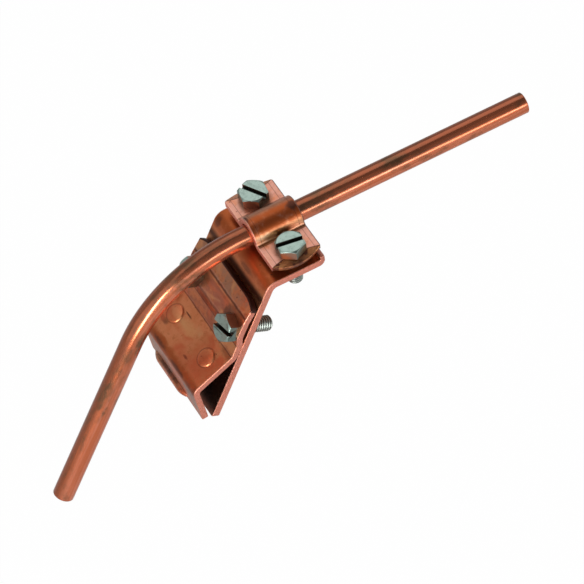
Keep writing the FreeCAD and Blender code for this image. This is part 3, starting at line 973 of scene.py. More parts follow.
# The jaw's finish paints shade inside the pocket, on the lip's end wall, round the domes, round the
# heads and in the folds, with a painted highlight beside each fold
JAW_COPPER = strip_material(
    "jaw_copper", ORANGE_COPPER, 0.55, 11.0, brown=(16.4, 2.3, 1.8, 0.9), uneven=0.9,
    tints=[(7.0, 8.2, 0.8, 0.9, (0.31, 0.180, 0.140)),
           (39.8, 4.9, 0.4, 0.9, (0.36, 0.120, 0.072)),
           (48.0, 4.4, 0.4, 0.9, (0.42, 0.125, 0.075)),
           (57.0, 3.6, 0.5, 0.85, (0.38, 0.19, 0.12))],
    rings=[(side * DOME_X, DOME_ALONG, 3.75, 0.55) for side in (-1, 1)],
    shaded_end_wall=(60.4, 3.2, 0.3, 0.95), inner_face=(-1.25, 33.0),
    folds=[(34.9, 0.6), (41.0, 0.8), (44.7, 0.6), (53.5, 0.85)],
    screws=[(SCREW_X / MM, 48.0), (-SCREW_X / MM, 50.0)],
    marks=[(-7.6, 30.7, 2.6, 0.35, 0.85, DARK_SKIN_AND_SHADE),
           (5.6, 20.8, 1.9, 0.7, 0.85, DARK_SKIN_AND_SHADE),
           (-14.0, 22.3, 3.2, 1.1, 0.6, DARK_SKIN_AND_SHADE),
           (-17.0, 31.5, 2.4, 2.2, 0.55, BROWN_COPPER),
           (-8.0, 16.6, 7.0, 1.0, 0.7, DARK_SKIN_AND_SHADE),
           (7.0, 16.2, 6.5, 0.9, 0.7, DARK_SKIN_AND_SHADE),
           (17.0, 13.6, 7.0, 5.0, 0.75, (0.20, 0.075, 0.045)),
           (13.0, 48.6, 5.5, 3.0, 0.8, DARK_SKIN_AND_SHADE),
           (17.0, 34.5, 5.0, 2.4, 0.6, RUSSET),
           (14.0, 24.0, 9.0, 8.0, 0.5, RED_COPPER),
           (5.0, 20.5, 8.0, 3.0, 0.35, RED_COPPER),
           (-3.0, 28.0, 6.0, 2.6, 0.5, GOLD_COPPER_AND_SHEEN),
           # The next three marks paint the ridge: shade along both sides of its root and a highlight on
           # its flank
           (RIDGE_X, 3.6, 12.8, 0.8, 0.9, DARK_SKIN_AND_SHADE),
           (RIDGE_X, 0.1, 12.8, 0.6, 0.9, DARK_SKIN_AND_SHADE),
           (RIDGE_X, RIDGE_FROM_TIP, 14.0, 1.3, 0.9, (0.80, 0.34, 0.25)),
           (-6.0, 42.0, 4.0, 2.2, 0.6, (0.26, 0.065, 0.030)),
           (-15.5, 42.0, 4.0, 2.4, 0.8, RED_COPPER),
           (-16.0, 23.5, 3.0, 5.0, 0.6, RED_COPPER),
           (-7.0, 18.0, 3.5, 1.0, 0.7, BROWN_COPPER),
           (-7.0, 35.2, 4.0, 1.2, 0.6, RUSSET),
           (17.5, 30.5, 3.0, 2.5, 0.5, RED_COPPER)])
print("jaw finish:", JAW_COPPER.name)

# %% Jaw
JAW_THICKNESS = 2.5 * MM
JAW_BEND = 1.5 * MM
JAW_TOP_HEIGHT = 54.1 * MM
JAW_LENGTHS = [8.9 * MM, 6.8 * MM, 3.7 * MM, 6.1 * MM, 18.7 * MM, 16.7 * MM]
LIP_ANGLE, SLOPE_ANGLE, HOOK_ANGLE = math.radians(8.1), math.radians(34.6), math.radians(-34.4)
SEAT_GAP = 0.1 * MM
LIP_RISE = JAW_LENGTHS[0] * math.sin(LIP_ANGLE)
CORNER_RUN, CORNER_DROP = 7.2, 2.2
CROWN_STEP = 0.05      # radians between the points of the crowned end
HOOK_CORNER = 1.0
PLAIN_HOLE = 3.3
DOME_RADIUS, DOME_HEIGHT, DOME_SHIFT = 3.7, 0.7, 1.4
DOME_SHOULDER, SHOULDER_SHARE = 0.55, 0.6
DOME_RINGS = [0.7, 1.4, 2.1, 2.7, 3.05, 3.15, 3.25, 3.35, 3.45, 3.55, 3.65, 3.72, 3.9, 4.3]


def jaw_path():
    """Middle of the jaw's thickness, from the hook's tip up to the lip's end, with its corners."""
    step_angle = -math.asin(LIP_RISE / JAW_LENGTHS[2])
    points = [on_leg(JAW_TOP_HEIGHT, SEAT_GAP + JAW_THICKNESS / 2)]
    for length, angle in zip(JAW_LENGTHS, (LIP_ANGLE, 0, step_angle, 0, SLOPE_ANGLE, HOOK_ANGLE)):
        points.append(points[-1] + (OFF_LEG * math.sin(angle) - UP_LEG * math.cos(angle)) * length)
    points.reverse()
    return BendPath(rounded_path(points, [JAW_BEND + JAW_THICKNESS / 2] * 5)), points


def dome_lift(centres):
    """How far each round dome stands up: a short steep shoulder, and a low crown inside it."""
    def lift(x, y):
        r = min((Vector((x, y)) - c).length for c in centres)
        if r >= DOME_RADIUS:
            return 0.0
        climb = min(1.0, (DOME_RADIUS - r) / DOME_SHOULDER)
        crown = 1 - min(1.0, r / (DOME_RADIUS - DOME_SHOULDER)) ** 2
        climb = climb * climb * (3 - 2 * climb)
        return DOME_HEIGHT * (SHOULDER_SHARE * climb + (1 - SHOULDER_SHARE) * crown)
    return lift


def make_jaw():
    path, corners = jaw_path()
    rows, end = path.rows(), path.end
    half = STRIP_WIDTH / 2 / MM
    curve = (CORNER_RUN ** 2 + CORNER_DROP ** 2) / (2 * CORNER_DROP)
    crown = [Vector((half - CORNER_RUN + curve * math.sin(a), end - curve + curve * math.cos(a)))
             for a in steps_between(0, math.asin(CORNER_RUN / curve), CROWN_STEP)][::-1]
    top = crown + [Vector((-p.x, p.y)) for p in reversed(crown)]
    outline = loop_with_sides(half, HOOK_CORNER, end - CORNER_DROP - 0.05, rows,
                              square_end(half, 0.0, False, HOOK_CORNER), top)
    foot = LEG_FOOT.dot(UP_LEG)
    holes = []
    for x, height in JAW_SCREWS:
        ring = circle_loop(Vector((x / MM, height / MM)), PLAIN_HOLE)
        holes.append([Vector((p.x, path.length_at(UP_LEG, foot + p.y * MM))) for p in ring])
    slope = (corners[2] - corners[1]).normalized()
    dome_middle = (corners[1] + corners[2]) / 2 + slope * DOME_SHIFT * MM
    dome_y = path.length_at(UP_LEG, dome_middle.dot(UP_LEG))
    centres = [Vector((side * DOME_X, dome_y)) for side in (-1, 1)]
    thick = JAW_THICKNESS / 2 / MM
    blank = flat_blank("jaw_strip", outline, holes, rows, lambda y: (-thick, thick),
                       discs=[(c, DOME_RINGS) for c in centres], lift=dome_lift(centres))
    return bend(blank, path, ACROSS_X, JAW_COPPER), path.points


jaw, JAW_PATH = make_jaw()
dress(jaw, JAW_COPPER, "clamp_jaw", "clamp_jaw")

# %% Ridge along the hook's tip
RIDGE_LENGTH, RIDGE_TAPER, RIDGE_WIDTH, RIDGE_HEIGHT = 25.4, 5.4, 3.2, 1.85
RIDGE_SINK = 0.05
RIDGE_SIDES, RIDGE_STEP = 14, 0.4
RIDGE_TIP = 0.05       # height that is left at its two ends


def make_ridge():
    """Half-round bar with tapered ends, sunk a little into the hook's face."""
    along = (JAW_PATH[1] - JAW_PATH[0]).normalized()
    out = Vector(ACROSS_X).cross(along)
    middle = JAW_PATH[0] + along * RIDGE_FROM_TIP * MM + out * JAW_THICKNESS / 2
    half = RIDGE_LENGTH / 2
    taper = (RIDGE_TAPER ** 2 + RIDGE_HEIGHT ** 2) / (2 * RIDGE_HEIGHT)
    rings, places = [], []
    for x in steps_between(-half + 0.02, half - 0.02, RIDGE_STEP):
        past = max(0.0, abs(x) - (half - RIDGE_TAPER))
        height = max(RIDGE_TIP, RIDGE_HEIGHT - (taper - math.sqrt(taper * taper - past * past)))
        width = RIDGE_WIDTH / 2 * math.sqrt(height / RIDGE_HEIGHT)
        rings.append([])
        for a in (math.pi * k / RIDGE_SIDES for k in range(RIDGE_SIDES + 1)):
            rise, back = height * math.sin(a) - RIDGE_SINK, -width * math.cos(a)
            rings[-1].append(middle + (Vector((RIDGE_X + x, 0, 0)) + along * back + out * rise) * MM)
            places += [RIDGE_X + x, RIDGE_FROM_TIP + back, JAW_THICKNESS / MM / 2]
    ridge = ringed_solid("jaw_ridge", rings)
    store_values(ridge.data, "flat_place", places, "FLOAT_VECTOR")
    store_values(ridge.data, "edge_distance", [RIDGE_WIDTH] * len(ridge.data.vertices))
    outward(ridge.data)
    smooth_by_angle(ridge.data, 50)
    return ridge


dress(make_ridge(), JAW_COPPER, "clamp_jaw", "clamp_jaw")

# %% [markdown]
# ## Saddle
# The saddle is a short strip pressed over the conductor: two wings and a round hump. The
# ends of the wings are pressed down along a bowed crease, so that they hold the platform's
# sides. It is the same flat blank and the same bending tree, with one more move: past the
# crease each end is sheared down.

# %% Saddle path
SADDLE_THICKNESS = 2.5 * MM
SADDLE_WIDTH = 19.6 * MM
CORNER_SPAN = 36.5 * MM
END_BOW = 2.3 * MM
CREASE_BOW = 1.7 * MM
END_DROP = math.radians(22)
CREASE_ROUND = 0.2 * MM
HUMP_MIDDLE = CONDUCTOR_RADIUS + 0.2 * MM + SADDLE_THICKNESS / 2
ROOT_MIDDLE = 1.2 * MM + SADDLE_THICKNESS / 2
ROOT_STEPS, HUMP_STEPS = 20, 28


def saddle_path():
    """Middle of the saddle's thickness: a wing, a root bend, the hump, and the same again."""
    wing = WING_TOP - SADDLE_THICKNESS / 2
    root_z = wing + ROOT_MIDDLE
    root_x = math.sqrt((HUMP_MIDDLE + ROOT_MIDDLE) ** 2 - root_z ** 2)
    tilt = math.atan2(root_z, root_x)
    near = [Vector((CORNER_SPAN / 2 + END_BOW, 0, wing))]
    for k in range(ROOT_STEPS + 1):
        a = -math.pi / 2 - (math.pi / 2 - tilt) * k / ROOT_STEPS
        near.append(Vector((root_x + ROOT_MIDDLE * math.cos(a), 0, root_z + ROOT_MIDDLE * math.sin(a))))
    for k in range(1, HUMP_STEPS + 1):
        a = tilt + (math.pi / 2 - tilt) * k / HUMP_STEPS
        near.append(Vector((HUMP_MIDDLE * math.cos(a), 0, HUMP_MIDDLE * math.sin(a))))
    far = [Vector((-p.x, 0, p.z)) for p in near]
    return BendPath(far[:-1] + near[::-1])


def press_ends(mesh):
    """Push each end down past its bowed crease, and turn the crease over a small radius."""
    crease = CORNER_SPAN / 2 - CREASE_BOW
    rise = CREASE_BOW * math.sin(END_DROP)
    drum = ((SADDLE_WIDTH / 2) ** 2 + rise ** 2) / (2 * rise)
    for v in mesh.vertices:
        x, y, z = v.co
        past = abs(x) - crease - (drum - math.sqrt(drum * drum - y * y)) / math.sin(END_DROP)
        if past < -4 * CREASE_ROUND:
            continue
        # A smooth ramp: no slope well before the crease, the full slope well after it
        ramp = CREASE_ROUND * math.log1p(math.exp(past / CREASE_ROUND))
        grade = 1 / (1 + math.exp(-past / CREASE_ROUND))
        lean = math.atan(grade * math.tan(END_DROP))
        depth = WING_TOP - z
        v.co = (x - math.copysign(depth * math.sin(lean), x), y,
                WING_TOP - ramp * math.tan(END_DROP) - depth * math.cos(lean))


# %% Saddle finish
SADDLE_PATH = saddle_path()
SADDLE_MIDDLE = SADDLE_PATH.end / 2


def from_middle(*rows):
    """Bands of the saddle's finish, whose centres are counted from its middle."""
    return [(SADDLE_MIDDLE + centre, *rest) for centre, *rest in rows]


SADDLE_COPPER = strip_material(
    "saddle_copper", CLEAN_COPPER_AND_SHEEN, 0.35, 23.0, brown=from_middle((2.2, 3.6, 1.6, 1.0))[0], uneven=0.25,
    # The last of these tints, gold low on the hump's near side, is a painted highlight
    tints=from_middle((-5.4, 4.6, 1.6, 0.85, (0.46, 0.22, 0.15)),
                      (-0.4, 1.6, 1.4, 0.7, (0.40, 0.13, 0.055)),
                      (6.4, 2.4, 1.6, 0.8, GOLD_COPPER_AND_SHEEN)),
    # The creases are painted shade at the roots of the hump
    creases=from_middle((-11.2, 0.35, 0.3, 0.85, (0.10, 0.040, 0.020)),
                        (10.0, 0.9, 0.7, 0.9, (0.22, 0.075, 0.020)),
                        (10.9, 0.16, 0.15, 0.85, (0.08, 0.030, 0.012))),
    screws=[(0.0, SADDLE_MIDDLE - 15.6), (0.0, SADDLE_MIDDLE + 15.6)], side_line=7.7,
    # The first mark is painted shade beside the near head, and the last two are painted highlights near
    # the hump's near root
    marks=[(0.4, SADDLE_MIDDLE + 7.4, 4.4, 1.6, 0.85, (0.24, 0.08, 0.025)),
           (-8.2, SADDLE_MIDDLE + 1.0, 2.8, 1.9, 0.9, DARK_SKIN_AND_SHADE),
           (9.2, SADDLE_MIDDLE - 1.4, 1.1, 2.4, 0.85, DARK_SKIN_AND_SHADE),
           (6.0, SADDLE_MIDDLE + 7.2, 5.5, 1.6, 0.9, ROOT_HIGHLIGHT_COPPER),
           (-7.0, SADDLE_MIDDLE + 7.6, 3.0, 1.1, 0.8, ROOT_HIGHLIGHT_COPPER)],
    polished=from_middle((0.0, 8.4, 1.0, 0.05))[0],
    pressed=(SADDLE_MIDDLE, SADDLE_MIDDLE - (END_BOW + CREASE_BOW) / MM, CREASE_BOW / MM,
             SADDLE_WIDTH / 2 / MM))
print("saddle finish:", SADDLE_COPPER.name, "middle, mm:", round(SADDLE_MIDDLE, 2))

# %% Saddle
SADDLE_CORNER = 0.9
ARC_STEP = 0.045       # radians between the points of the bowed end
CREASE_PITCH = 0.3     # between the rows near the crease
FINE_PITCH = 0.5       # along those rows
FINE_MARGIN = 1.6      # the closer mesh starts this far before the crease


def soft_corner(first, corner, last, count=6):
    """Points of a curve from one place to another, drawn towards the corner between them."""
    return [first * (1 - t) ** 2 + corner * 2 * t * (1 - t) + last * t * t
            for t in (k / count for k in range(1, count))]


def make_saddle():
    end = SADDLE_PATH.end
    half, bow = SADDLE_WIDTH / 2 / MM, END_BOW / MM
    crease_y = end - (END_BOW + CREASE_BOW) / MM
    crease_rows = steps_between(crease_y - 1.5, end - 0.9, CREASE_PITCH)
    rows = SADDLE_PATH.rows(extra=crease_rows + [end - y for y in crease_rows])
    radius = (half ** 2 + bow ** 2) / (2 * bow)
    reach = math.asin(half / radius) - SADDLE_CORNER / radius
    arc = [Vector((radius * math.sin(a), end - radius + radius * math.cos(a)))
           for a in steps_between(-reach, reach, ARC_STEP)][::-1]
    start = end - bow - SADDLE_CORNER
    right, left = Vector((half, start)), Vector((-half, start))
    top = [right, *soft_corner(right, Vector((half, end - bow)), arc[0]), *arc,
           *soft_corner(arc[-1], Vector((-half, end - bow)), left), left]
    bottom = [Vector((-p.x, end - p.y)) for p in top]
    outline = loop_with_sides(half, bow + 0.92, start - 0.02, rows, bottom, top)
    holes = [circle_loop(Vector((0, SADDLE_PATH.length_at(Vector(ACROSS_X), x))), PLAIN_HOLE)
             for x in (-SCREW_X, SCREW_X)]
    thick = SADDLE_THICKNESS / 2 / MM
    far_end = (crease_y - FINE_MARGIN, end, FINE_PITCH)
    near_end = (0, end - crease_y + FINE_MARGIN, FINE_PITCH)
    blank = flat_blank("saddle_strip", outline, holes, rows, lambda y: (-thick, thick), pitch=1.4,
                       fine=[far_end, near_end])
    saddle = bend(blank, SADDLE_PATH, (0.0, -1.0, 0.0), SADDLE_COPPER)
    press_ends(saddle.data)
    return saddle


dress(make_saddle(), SADDLE_COPPER, "saddle", "saddle")

# %% [markdown]
# ## Round conductor
# Solid drawn copper, eight millimetres thick, bent over the clamp by hand. A circle swept
# along a curve is exactly that, so the tree needs only the path, the radius and how many
# sides the circle has. The last points of the path carry a smaller radius, which breaks
# the sharp edge of the cut end. The drawn surface has faint streaks along its length, and
# the upper side of the round is painted browner, as painted shade.

# %% Conductor finish
SHADED_SIDE_TURN = 2 * math.pi * 0.81
STREAK_DARK, STREAK_LIGHT = (0.68, 0.180, 0.078), (0.78, 0.255, 0.145)
TOP_SHADE, OLIVE = (0.28, 0.080, 0.036), (0.12, 0.085, 0.045)


def conductor_material():
    """Drawn copper with streaks along the bar, dark patches and painted shade on its upper side."""
    material, tree, shader = new_material("conductor_copper", 0.8)
    cosine, sine = attribute(tree, "round_cosine"), attribute(tree, "round_sine")
    length = attribute(tree, "along") * (1 / MM)
    wrapped = combined(cosine * 4.0, sine * 4.0, length)
    streaks = noise(wrapped * (1.3, 1.3, 0.025), 1.0, 2.5)
    patches = mask(TARNISH, Place=wrapped * (1.0, 1.0, 0.4), Scale=0.05, Amount=0.35)
    olive = mask(TARNISH, Place=wrapped * (1.1, 1.1, 0.55), Scale=0.075, Amount=0.42)
    dots = mask(SPECKS, Place=place_in_mm(tree), Scale=0.5, Size=0.12, Share=0.18)
    # Painted shade on the upper side of the round
    facing_up = cosine * math.cos(SHADED_SIDE_TURN) + sine * math.sin(SHADED_SIDE_TURN)
    top = smooth_between(facing_up + (streaks - 0.5) * 0.9, 0.28, 0.86)
    colour = tinted(STREAK_DARK, smooth_between(streaks, 0.38, 0.66), STREAK_LIGHT)
    for amount, tint in ((patches * 0.5, BROWN_COPPER), (top * 0.8, TOP_SHADE),
                         (olive * 0.8, OLIVE), (dots * 0.5, DARK_SKIN_AND_SHADE)):
        colour = tinted(colour, amount, tint)
    finish_metal(tree, shader, colour, streaks * 0.08 + 0.13 + patches * 0.08, streaks - dots, 0.04)
    return material


CONDUCTOR_COPPER = conductor_material()
print("conductor finish:", CONDUCTOR_COPPER.name)

# %% The round bar's tree
def tube_tree():
    tree, source = geometry_tree("round_bar_along_path", ("Radius", "Float", CONDUCTOR_RADIUS),
                                 ("Sides", "Int", 48))
    profile = Node(tree, "GeometryNodeCurvePrimitiveCircle",
                   {"Resolution": source["Sides"], "Radius": source["Radius"]})["Curve"]
    station = Node(tree, "GeometryNodeSplineParameter")
    turn = station["Factor"] * (2 * math.pi)
    for title, function in (("round_cosine", "COSINE"), ("round_sine", "SINE")):
        profile = stored(profile, title, maths(function, turn))
    route = stored(source["Geometry"], "along", station["Length"])
    sweep = Node(tree, "GeometryNodeCurveToMesh",
                 {"Curve": route, "Profile Curve": profile, "Fill Caps": True})
    if "Scale" in sweep.node.inputs:      # newer versions take the curve's radius from here
        plug(tree, sweep.node.inputs["Scale"], Node(tree, "GeometryNodeInputRadius")[0])
    finish_geometry(source, Node(tree, "GeometryNodeSetShadeSmooth", {"Geometry": sweep[0]})[0])
    return tree


ROUND_BAR = tube_tree()
print("round bar tree nodes:", len(ROUND_BAR.nodes))

# %% Conductor
CONDUCTOR_AHEAD = 103.9 * MM
CONDUCTOR_DOWN = 106.0 * MM
TURN_AT = 44.9 * MM
TURN_ANGLE = math.radians(60)
TURN_RADIUS = 55.0 * MM
BROKEN_EDGE = 0.35 * MM
BROKEN_STEPS = 4
ROD_PITCH = 4 * MM


def make_conductor():
    """Sweep the bar along its path, with a broken edge at both ends."""
    down = Vector((0, -math.cos(TURN_ANGLE), -math.sin(TURN_ANGLE)))
    crossing = Vector((0, -TURN_AT, 0))
    path = rounded_path([Vector((0, CONDUCTOR_AHEAD, 0)), crossing, crossing + down * CONDUCTOR_DOWN],
                        [TURN_RADIUS], step=1.5)
    ends = []
    for tip, inner in ((path[0], path[1]), (path[-1], path[-2])):
        inward = (inner - tip).normalized()
        ends.append([(tip + inward * BROKEN_EDGE * (1 - math.cos(a)),
                      1 - BROKEN_EDGE * (1 - math.sin(a)) / CONDUCTOR_RADIUS)
                     for a in (math.pi / 2 * k / BROKEN_STEPS for k in range(BROKEN_STEPS + 1))])
    long_points = []
    for p, q in zip(path, path[1:]):
        count = max(1, round((q - p).length / ROD_PITCH))
        long_points.extend((p.lerp(q, k / count), 1.0) for k in range(count))
    stations = ends[0] + long_points[1:] + ends[1][::-1]
    rod = path_object("round_conductor_rod", [p for p, _ in stations])
    for point, (_, scale) in zip(rod.data.splines[0].points, stations):
        point.radius = scale
    return run_tree(rod, ROUND_BAR, Radius=CONDUCTOR_RADIUS, Sides=64, Finish=CONDUCTOR_COPPER)


dress(make_conductor(), CONDUCTOR_COPPER, "bracket", "round_conductor")

# %% [markdown]
# ## Screws
# Four slotted hexagon screws. A head like this is turned and milled: a hexagon bar, a
# chamfer turned at thirty degrees, and a slot sawn across. Three simple solids and two
# Boolean modifiers give the curved edges that the chamfer leaves on the flats, and a Bevel
# modifier breaks the sharp edges. The thread follows a rule, so a tree makes it: a plain
# cylinder whose points move in and out as they go round and down.

# %% Plated steel
# Painted shade for the slot and the thread's grooves, and a painted reflection of the copper for one
# flat
GROOVE_SHADE, MIRRORED_COPPER = (0.035, 0.033, 0.028), (0.46, 0.23, 0.155)
STEEL_SPECK, SHADED_STEEL_SIDE = (0.05, 0.06, 0.055), (0.13, 0.17, 0.15)


def steel_material(name, base, dark, roughness):
    """Grey green plated steel. The groove attribute paints shade, and flank paints shade on the upright
    faces and a reflection of copper on one of them.
    """
    material, tree, shader = new_material(name)
    place = place_in_mm(tree)
    groove, flank = attribute(tree, "groove"), attribute(tree, "flank")
    worn = mask(TARNISH, Place=place, Scale=0.5, Amount=0.45)
    dots = mask(SPECKS, Place=place, Scale=1.1, Size=0.2, Share=0.4)
    clouds = noise(place, 1.4, 4.0, 0.6)
    colour = base
    # Painted shade on the upright faces, a painted copper reflection on one flat, and painted shade in
    # the grooves
    for amount, tint in ((worn * 0.6, dark), (dots * 0.6, STEEL_SPECK),
                         (smooth_between(flank, 0.05, 0.2) * 0.6, SHADED_STEEL_SIDE),
                         (smooth_between(flank, 0.4, 0.9) * 0.9, MIRRORED_COPPER), (groove * 0.9, GROOVE_SHADE)):
        colour = tinted(colour, amount, tint)
    finish_metal(tree, shader, colour, clouds * 0.16 + roughness, clouds - dots * 1.5, 0.3)
    return material


HEAD_STEEL = steel_material("plated_head", (0.34, 0.44, 0.39), (0.20, 0.27, 0.24), 0.22)
THREAD_STEEL = steel_material("plated_thread", (0.42, 0.47, 0.43), (0.16, 0.17, 0.15), 0.32)
print("materials:", len(bpy.data.materials))

# %% The thread tree
THREAD_SIDES = 36
CREST, FLANK = 0.12, 0.74         # shares of half a turn
RUN_OUT = 0.8 * MM


def thread_tree():
    tree, source = geometry_tree("threaded_shank", ("Crest Radius", "Float", 0.00295),
                                 ("Depth", "Float", 0.00045), ("Pitch", "Float", 0.001),
                                 ("Length", "Float", 0.017), ("Tip Chamfer", "Float", 0.0008),
                                 ("Start", "Float", 0.0012), ("Rows", "Int", 170))
    bar = Node(tree, "GeometryNodeMeshCylinder",
               {"Vertices": THREAD_SIDES, "Side Segments": source["Rows"], "Radius": 1.0,
                "Depth": source["Length"]}, fill_type="NGON")["Mesh"]
    x, y, z = split(Node(tree, "GeometryNodeInputPosition")[0])
    depth = source["Length"] * 0.5 - z          # from the head's underside
    turns = maths("ARCTAN2", y, x) / (2 * math.pi)
    phase = maths("FRACT", depth / source["Pitch"] + turns)
    ramp = maths("ABSOLUTE", phase - 0.5) * 2.0
    begun = clamped((depth - source["Start"]) / RUN_OUT)
    groove = clamped((ramp - CREST) / FLANK) * begun
    threaded = source["Crest Radius"] - groove * source["Depth"]
    tip = source["Crest Radius"] - (source["Tip Chamfer"] - (source["Length"] - depth))
    radius = maths("MINIMUM", threaded, tip)
    place = combined(x * radius, y * radius, depth * -1.0)
    marked = stored(bar, "groove", groove)
    moved = Node(tree, "GeometryNodeSetPosition", {"Geometry": marked, "Position": place})[0]
    finish_geometry(source, moved)
    return tree


THREAD = thread_tree()
print("thread tree nodes:", len(THREAD.nodes))

# %% The head's solids
ACROSS_FLATS = 10.0 * MM
HEAD_HEIGHT = 4.0 * MM
CHAMFER_RATIO = 0.96
CHAMFER_REACH = 0.62 * ACROSS_FLATS      # past the hexagon's corners
CHAMFER_SIDES = 96
CHAMFER_ANGLE = math.radians(30)
SLOT_WIDTH = 1.8 * MM
SLOT_DEPTH = 2.2 * MM
SLOT_STEPS = 12
CUTTER_REACH = 9.0 * MM
BROKEN_CORNER = 0.12 * MM
SHANK_LENGTH = 17.0 * MM


def round_points(radius, z, sides, start=0.0):
    """Ring of points about Z, which is a polygon's corners when it has few sides."""
    return [Vector((radius * math.cos(a), radius * math.sin(a), z))
            for a in (start + 2 * math.pi * k / sides for k in range(sides))]


def head_solids(hexagon_turn, slot_turn):
    """The hexagon bar, the turned solid that cuts its chamfer, and the cutter for its slot."""
    corner = ACROSS_FLATS / 2 / math.cos(math.radians(30))
    bar = ringed_solid("hexagon", [round_points(corner, z, 6, math.radians(hexagon_turn))
                                   for z in (0, HEAD_HEIGHT)])
    top = ACROSS_FLATS / 2 * CHAMFER_RATIO
    low = HEAD_HEIGHT - (CHAMFER_REACH - top) * math.tan(CHAMFER_ANGLE)
    profile = [(CHAMFER_REACH, -MM), (CHAMFER_REACH, low), (top, HEAD_HEIGHT)]
    chamfer = ringed_solid("chamfer", [round_points(radius, z, CHAMFER_SIDES) for radius, z in profile])
    # The slot has a half-round floor, as a slotting saw leaves it
    half, floor = SLOT_WIDTH / 2, HEAD_HEIGHT - SLOT_DEPTH
    section = [(half, HEAD_HEIGHT + MM), (-half, HEAD_HEIGHT + MM)]
    section += [(half * math.cos(a), floor + half + half * math.sin(a))
                for a in (math.pi + math.pi * k / SLOT_STEPS for k in range(SLOT_STEPS + 1))]
    turning = Matrix.Rotation(math.radians(slot_turn), 3, "Z")
    slot = ringed_solid("slot", [[turning @ Vector((x, y, z)) for y, z in section]
                                 for x in (-CUTTER_REACH, CUTTER_REACH)])
    outward(slot.data)
    return bar, chamfer, slot


# %% The finished head
# Depths inside the slot that are painted with shade
SHADED_FROM, SHADED_TO = 0.15, 2.3      # millimetres under the head's top, inside the slot
SHADED_FLANK, MIRRORING_FLANK = 0.25, 1.0


def mark_slot_and_flanks(mesh, slot_turn, mirroring_turn):
    """Mark the points inside the slot, for painted shade, and the upright faces, for painted shade and
    a painted reflection of the copper.

    The flat whose normal points at the given turn has the most copper on it."""
    a, b = math.radians(slot_turn), math.radians(mirroring_turn)
    mirroring = Vector((math.cos(b), math.sin(b), 0))
    inside = [abs(v.co.y * math.cos(a) - v.co.x * math.sin(a)) < SLOT_WIDTH / 2 + 0.01 * MM
              and SHADED_FROM < (HEAD_HEIGHT - v.co.z) / MM < SHADED_TO for v in mesh.vertices]
    flanks = []
    for face in mesh.polygons:
        upright = abs(face.normal.z) < 0.2
        amount = MIRRORING_FLANK if face.normal.dot(mirroring) > 0.8 else SHADED_FLANK
        flanks.append(amount if upright else 0.0)
    store_values(mesh, "groove", [float(value) for value in inside])
    store_values(mesh, "flank", flanks, domain="FACE")


def make_head(name, hexagon_turn, slot_turn, mirroring_turn):
    """Hexagon head with its turned chamfer, its sawn slot and its broken edges."""
    head, chamfer, slot = head_solids(hexagon_turn, slot_turn)
    head.name = name
    for tool, operation in ((chamfer, "INTERSECT"), (slot, "DIFFERENCE")):
        cut = head.modifiers.new(operation, "BOOLEAN")
        cut.operation, cut.object, cut.solver = operation, tool, "EXACT"
    bevel = head.modifiers.new("broken edges", "BEVEL")
    bevel.width, bevel.segments, bevel.limit_method = BROKEN_CORNER, 2, "ANGLE"
    bevel.angle_limit = math.radians(20)
    head = bake_modifiers(head)
    for tool in (chamfer, slot):
        bpy.data.objects.remove(tool)
    smooth_by_angle(head.data, 40)
    mark_slot_and_flanks(head.data, slot_turn, mirroring_turn)
    weigh = head.modifiers.new("even flats", "WEIGHTED_NORMAL")
    weigh.keep_sharp = True
    return bake_modifiers(head)


# %% The four screws
# Each has its seat, its axis and the turns of its hexagon, its slot and its flat with the painted
# copper reflection
JAW_SEAT = SEAT_GAP + LIP_RISE + JAW_THICKNESS
SCREWS = {
    "saddle_screw_near": (Vector((SCREW_X, 0, WING_TOP)), UP, -5.0, 80.0, -35.0),
    "saddle_screw_far": (Vector((-SCREW_X, 0, WING_TOP)), UP, -6.0, 31.0, -36.0),
    "jaw_screw_near": (on_leg(JAW_SCREW_HEIGHT, JAW_SEAT, SCREW_X), OFF_LEG, -20.0, 13.0, 70.0),
    "jaw_screw_far": (on_leg(FAR_JAW_SCREW_HEIGHT, JAW_SEAT, -SCREW_X), OFF_LEG, 8.0, 64.0, 98.0),
}

for name, (seat, axis, *turns) in SCREWS.items():
    across = Vector(ACROSS_X)
    stand = Matrix.Translation(seat) @ Matrix((across, axis.cross(across), axis)).transposed().to_4x4()
    head = make_head(name + "_head", *turns)
    empty = mesh_object(name + "_thread", [], [])
    shank = run_tree(empty, THREAD, Length=SHANK_LENGTH, Finish=THREAD_STEEL)
    smooth_by_angle(shank.data, 50)
    for part, finish in ((head, HEAD_STEEL), (shank, THREAD_STEEL)):
        part.data.transform(stand)
        dress(part, finish, name, name)

# %% [markdown]
# ## Floor, light and background
# Polished metal has hardly any look of its own: it shows the room. So the room is built for
# it. A large soft lamp low on the right draws the long highlight on the conductor, and a
# tall one in front draws the highlight on its bend. A weak one behind on the left lights
# the flat tops, and dark cards over the clamp and in front of it give the copper its deep
# browns. The cards are grey cloth in a real studio. The camera doesn't see them, and it
# sees the white background by way of the Light Path node.

# %% Floor
FLOOR_Z = -0.125
FLOOR_SIZE = 12.0


def rectangle(name, width, height, z=0.0):
    corners = [(x * width / 2, y * height / 2, z) for x, y in ((-1, -1), (1, -1), (1, 1), (-1, 1))]
    return mesh_object(name, corners, [(0, 1, 2, 3)])


def glow(tree, kind, grey):
    """Emission or background of one grey."""
    return Node(tree, kind, {"Color": (grey, grey, grey), "Strength": 1.0})[0]


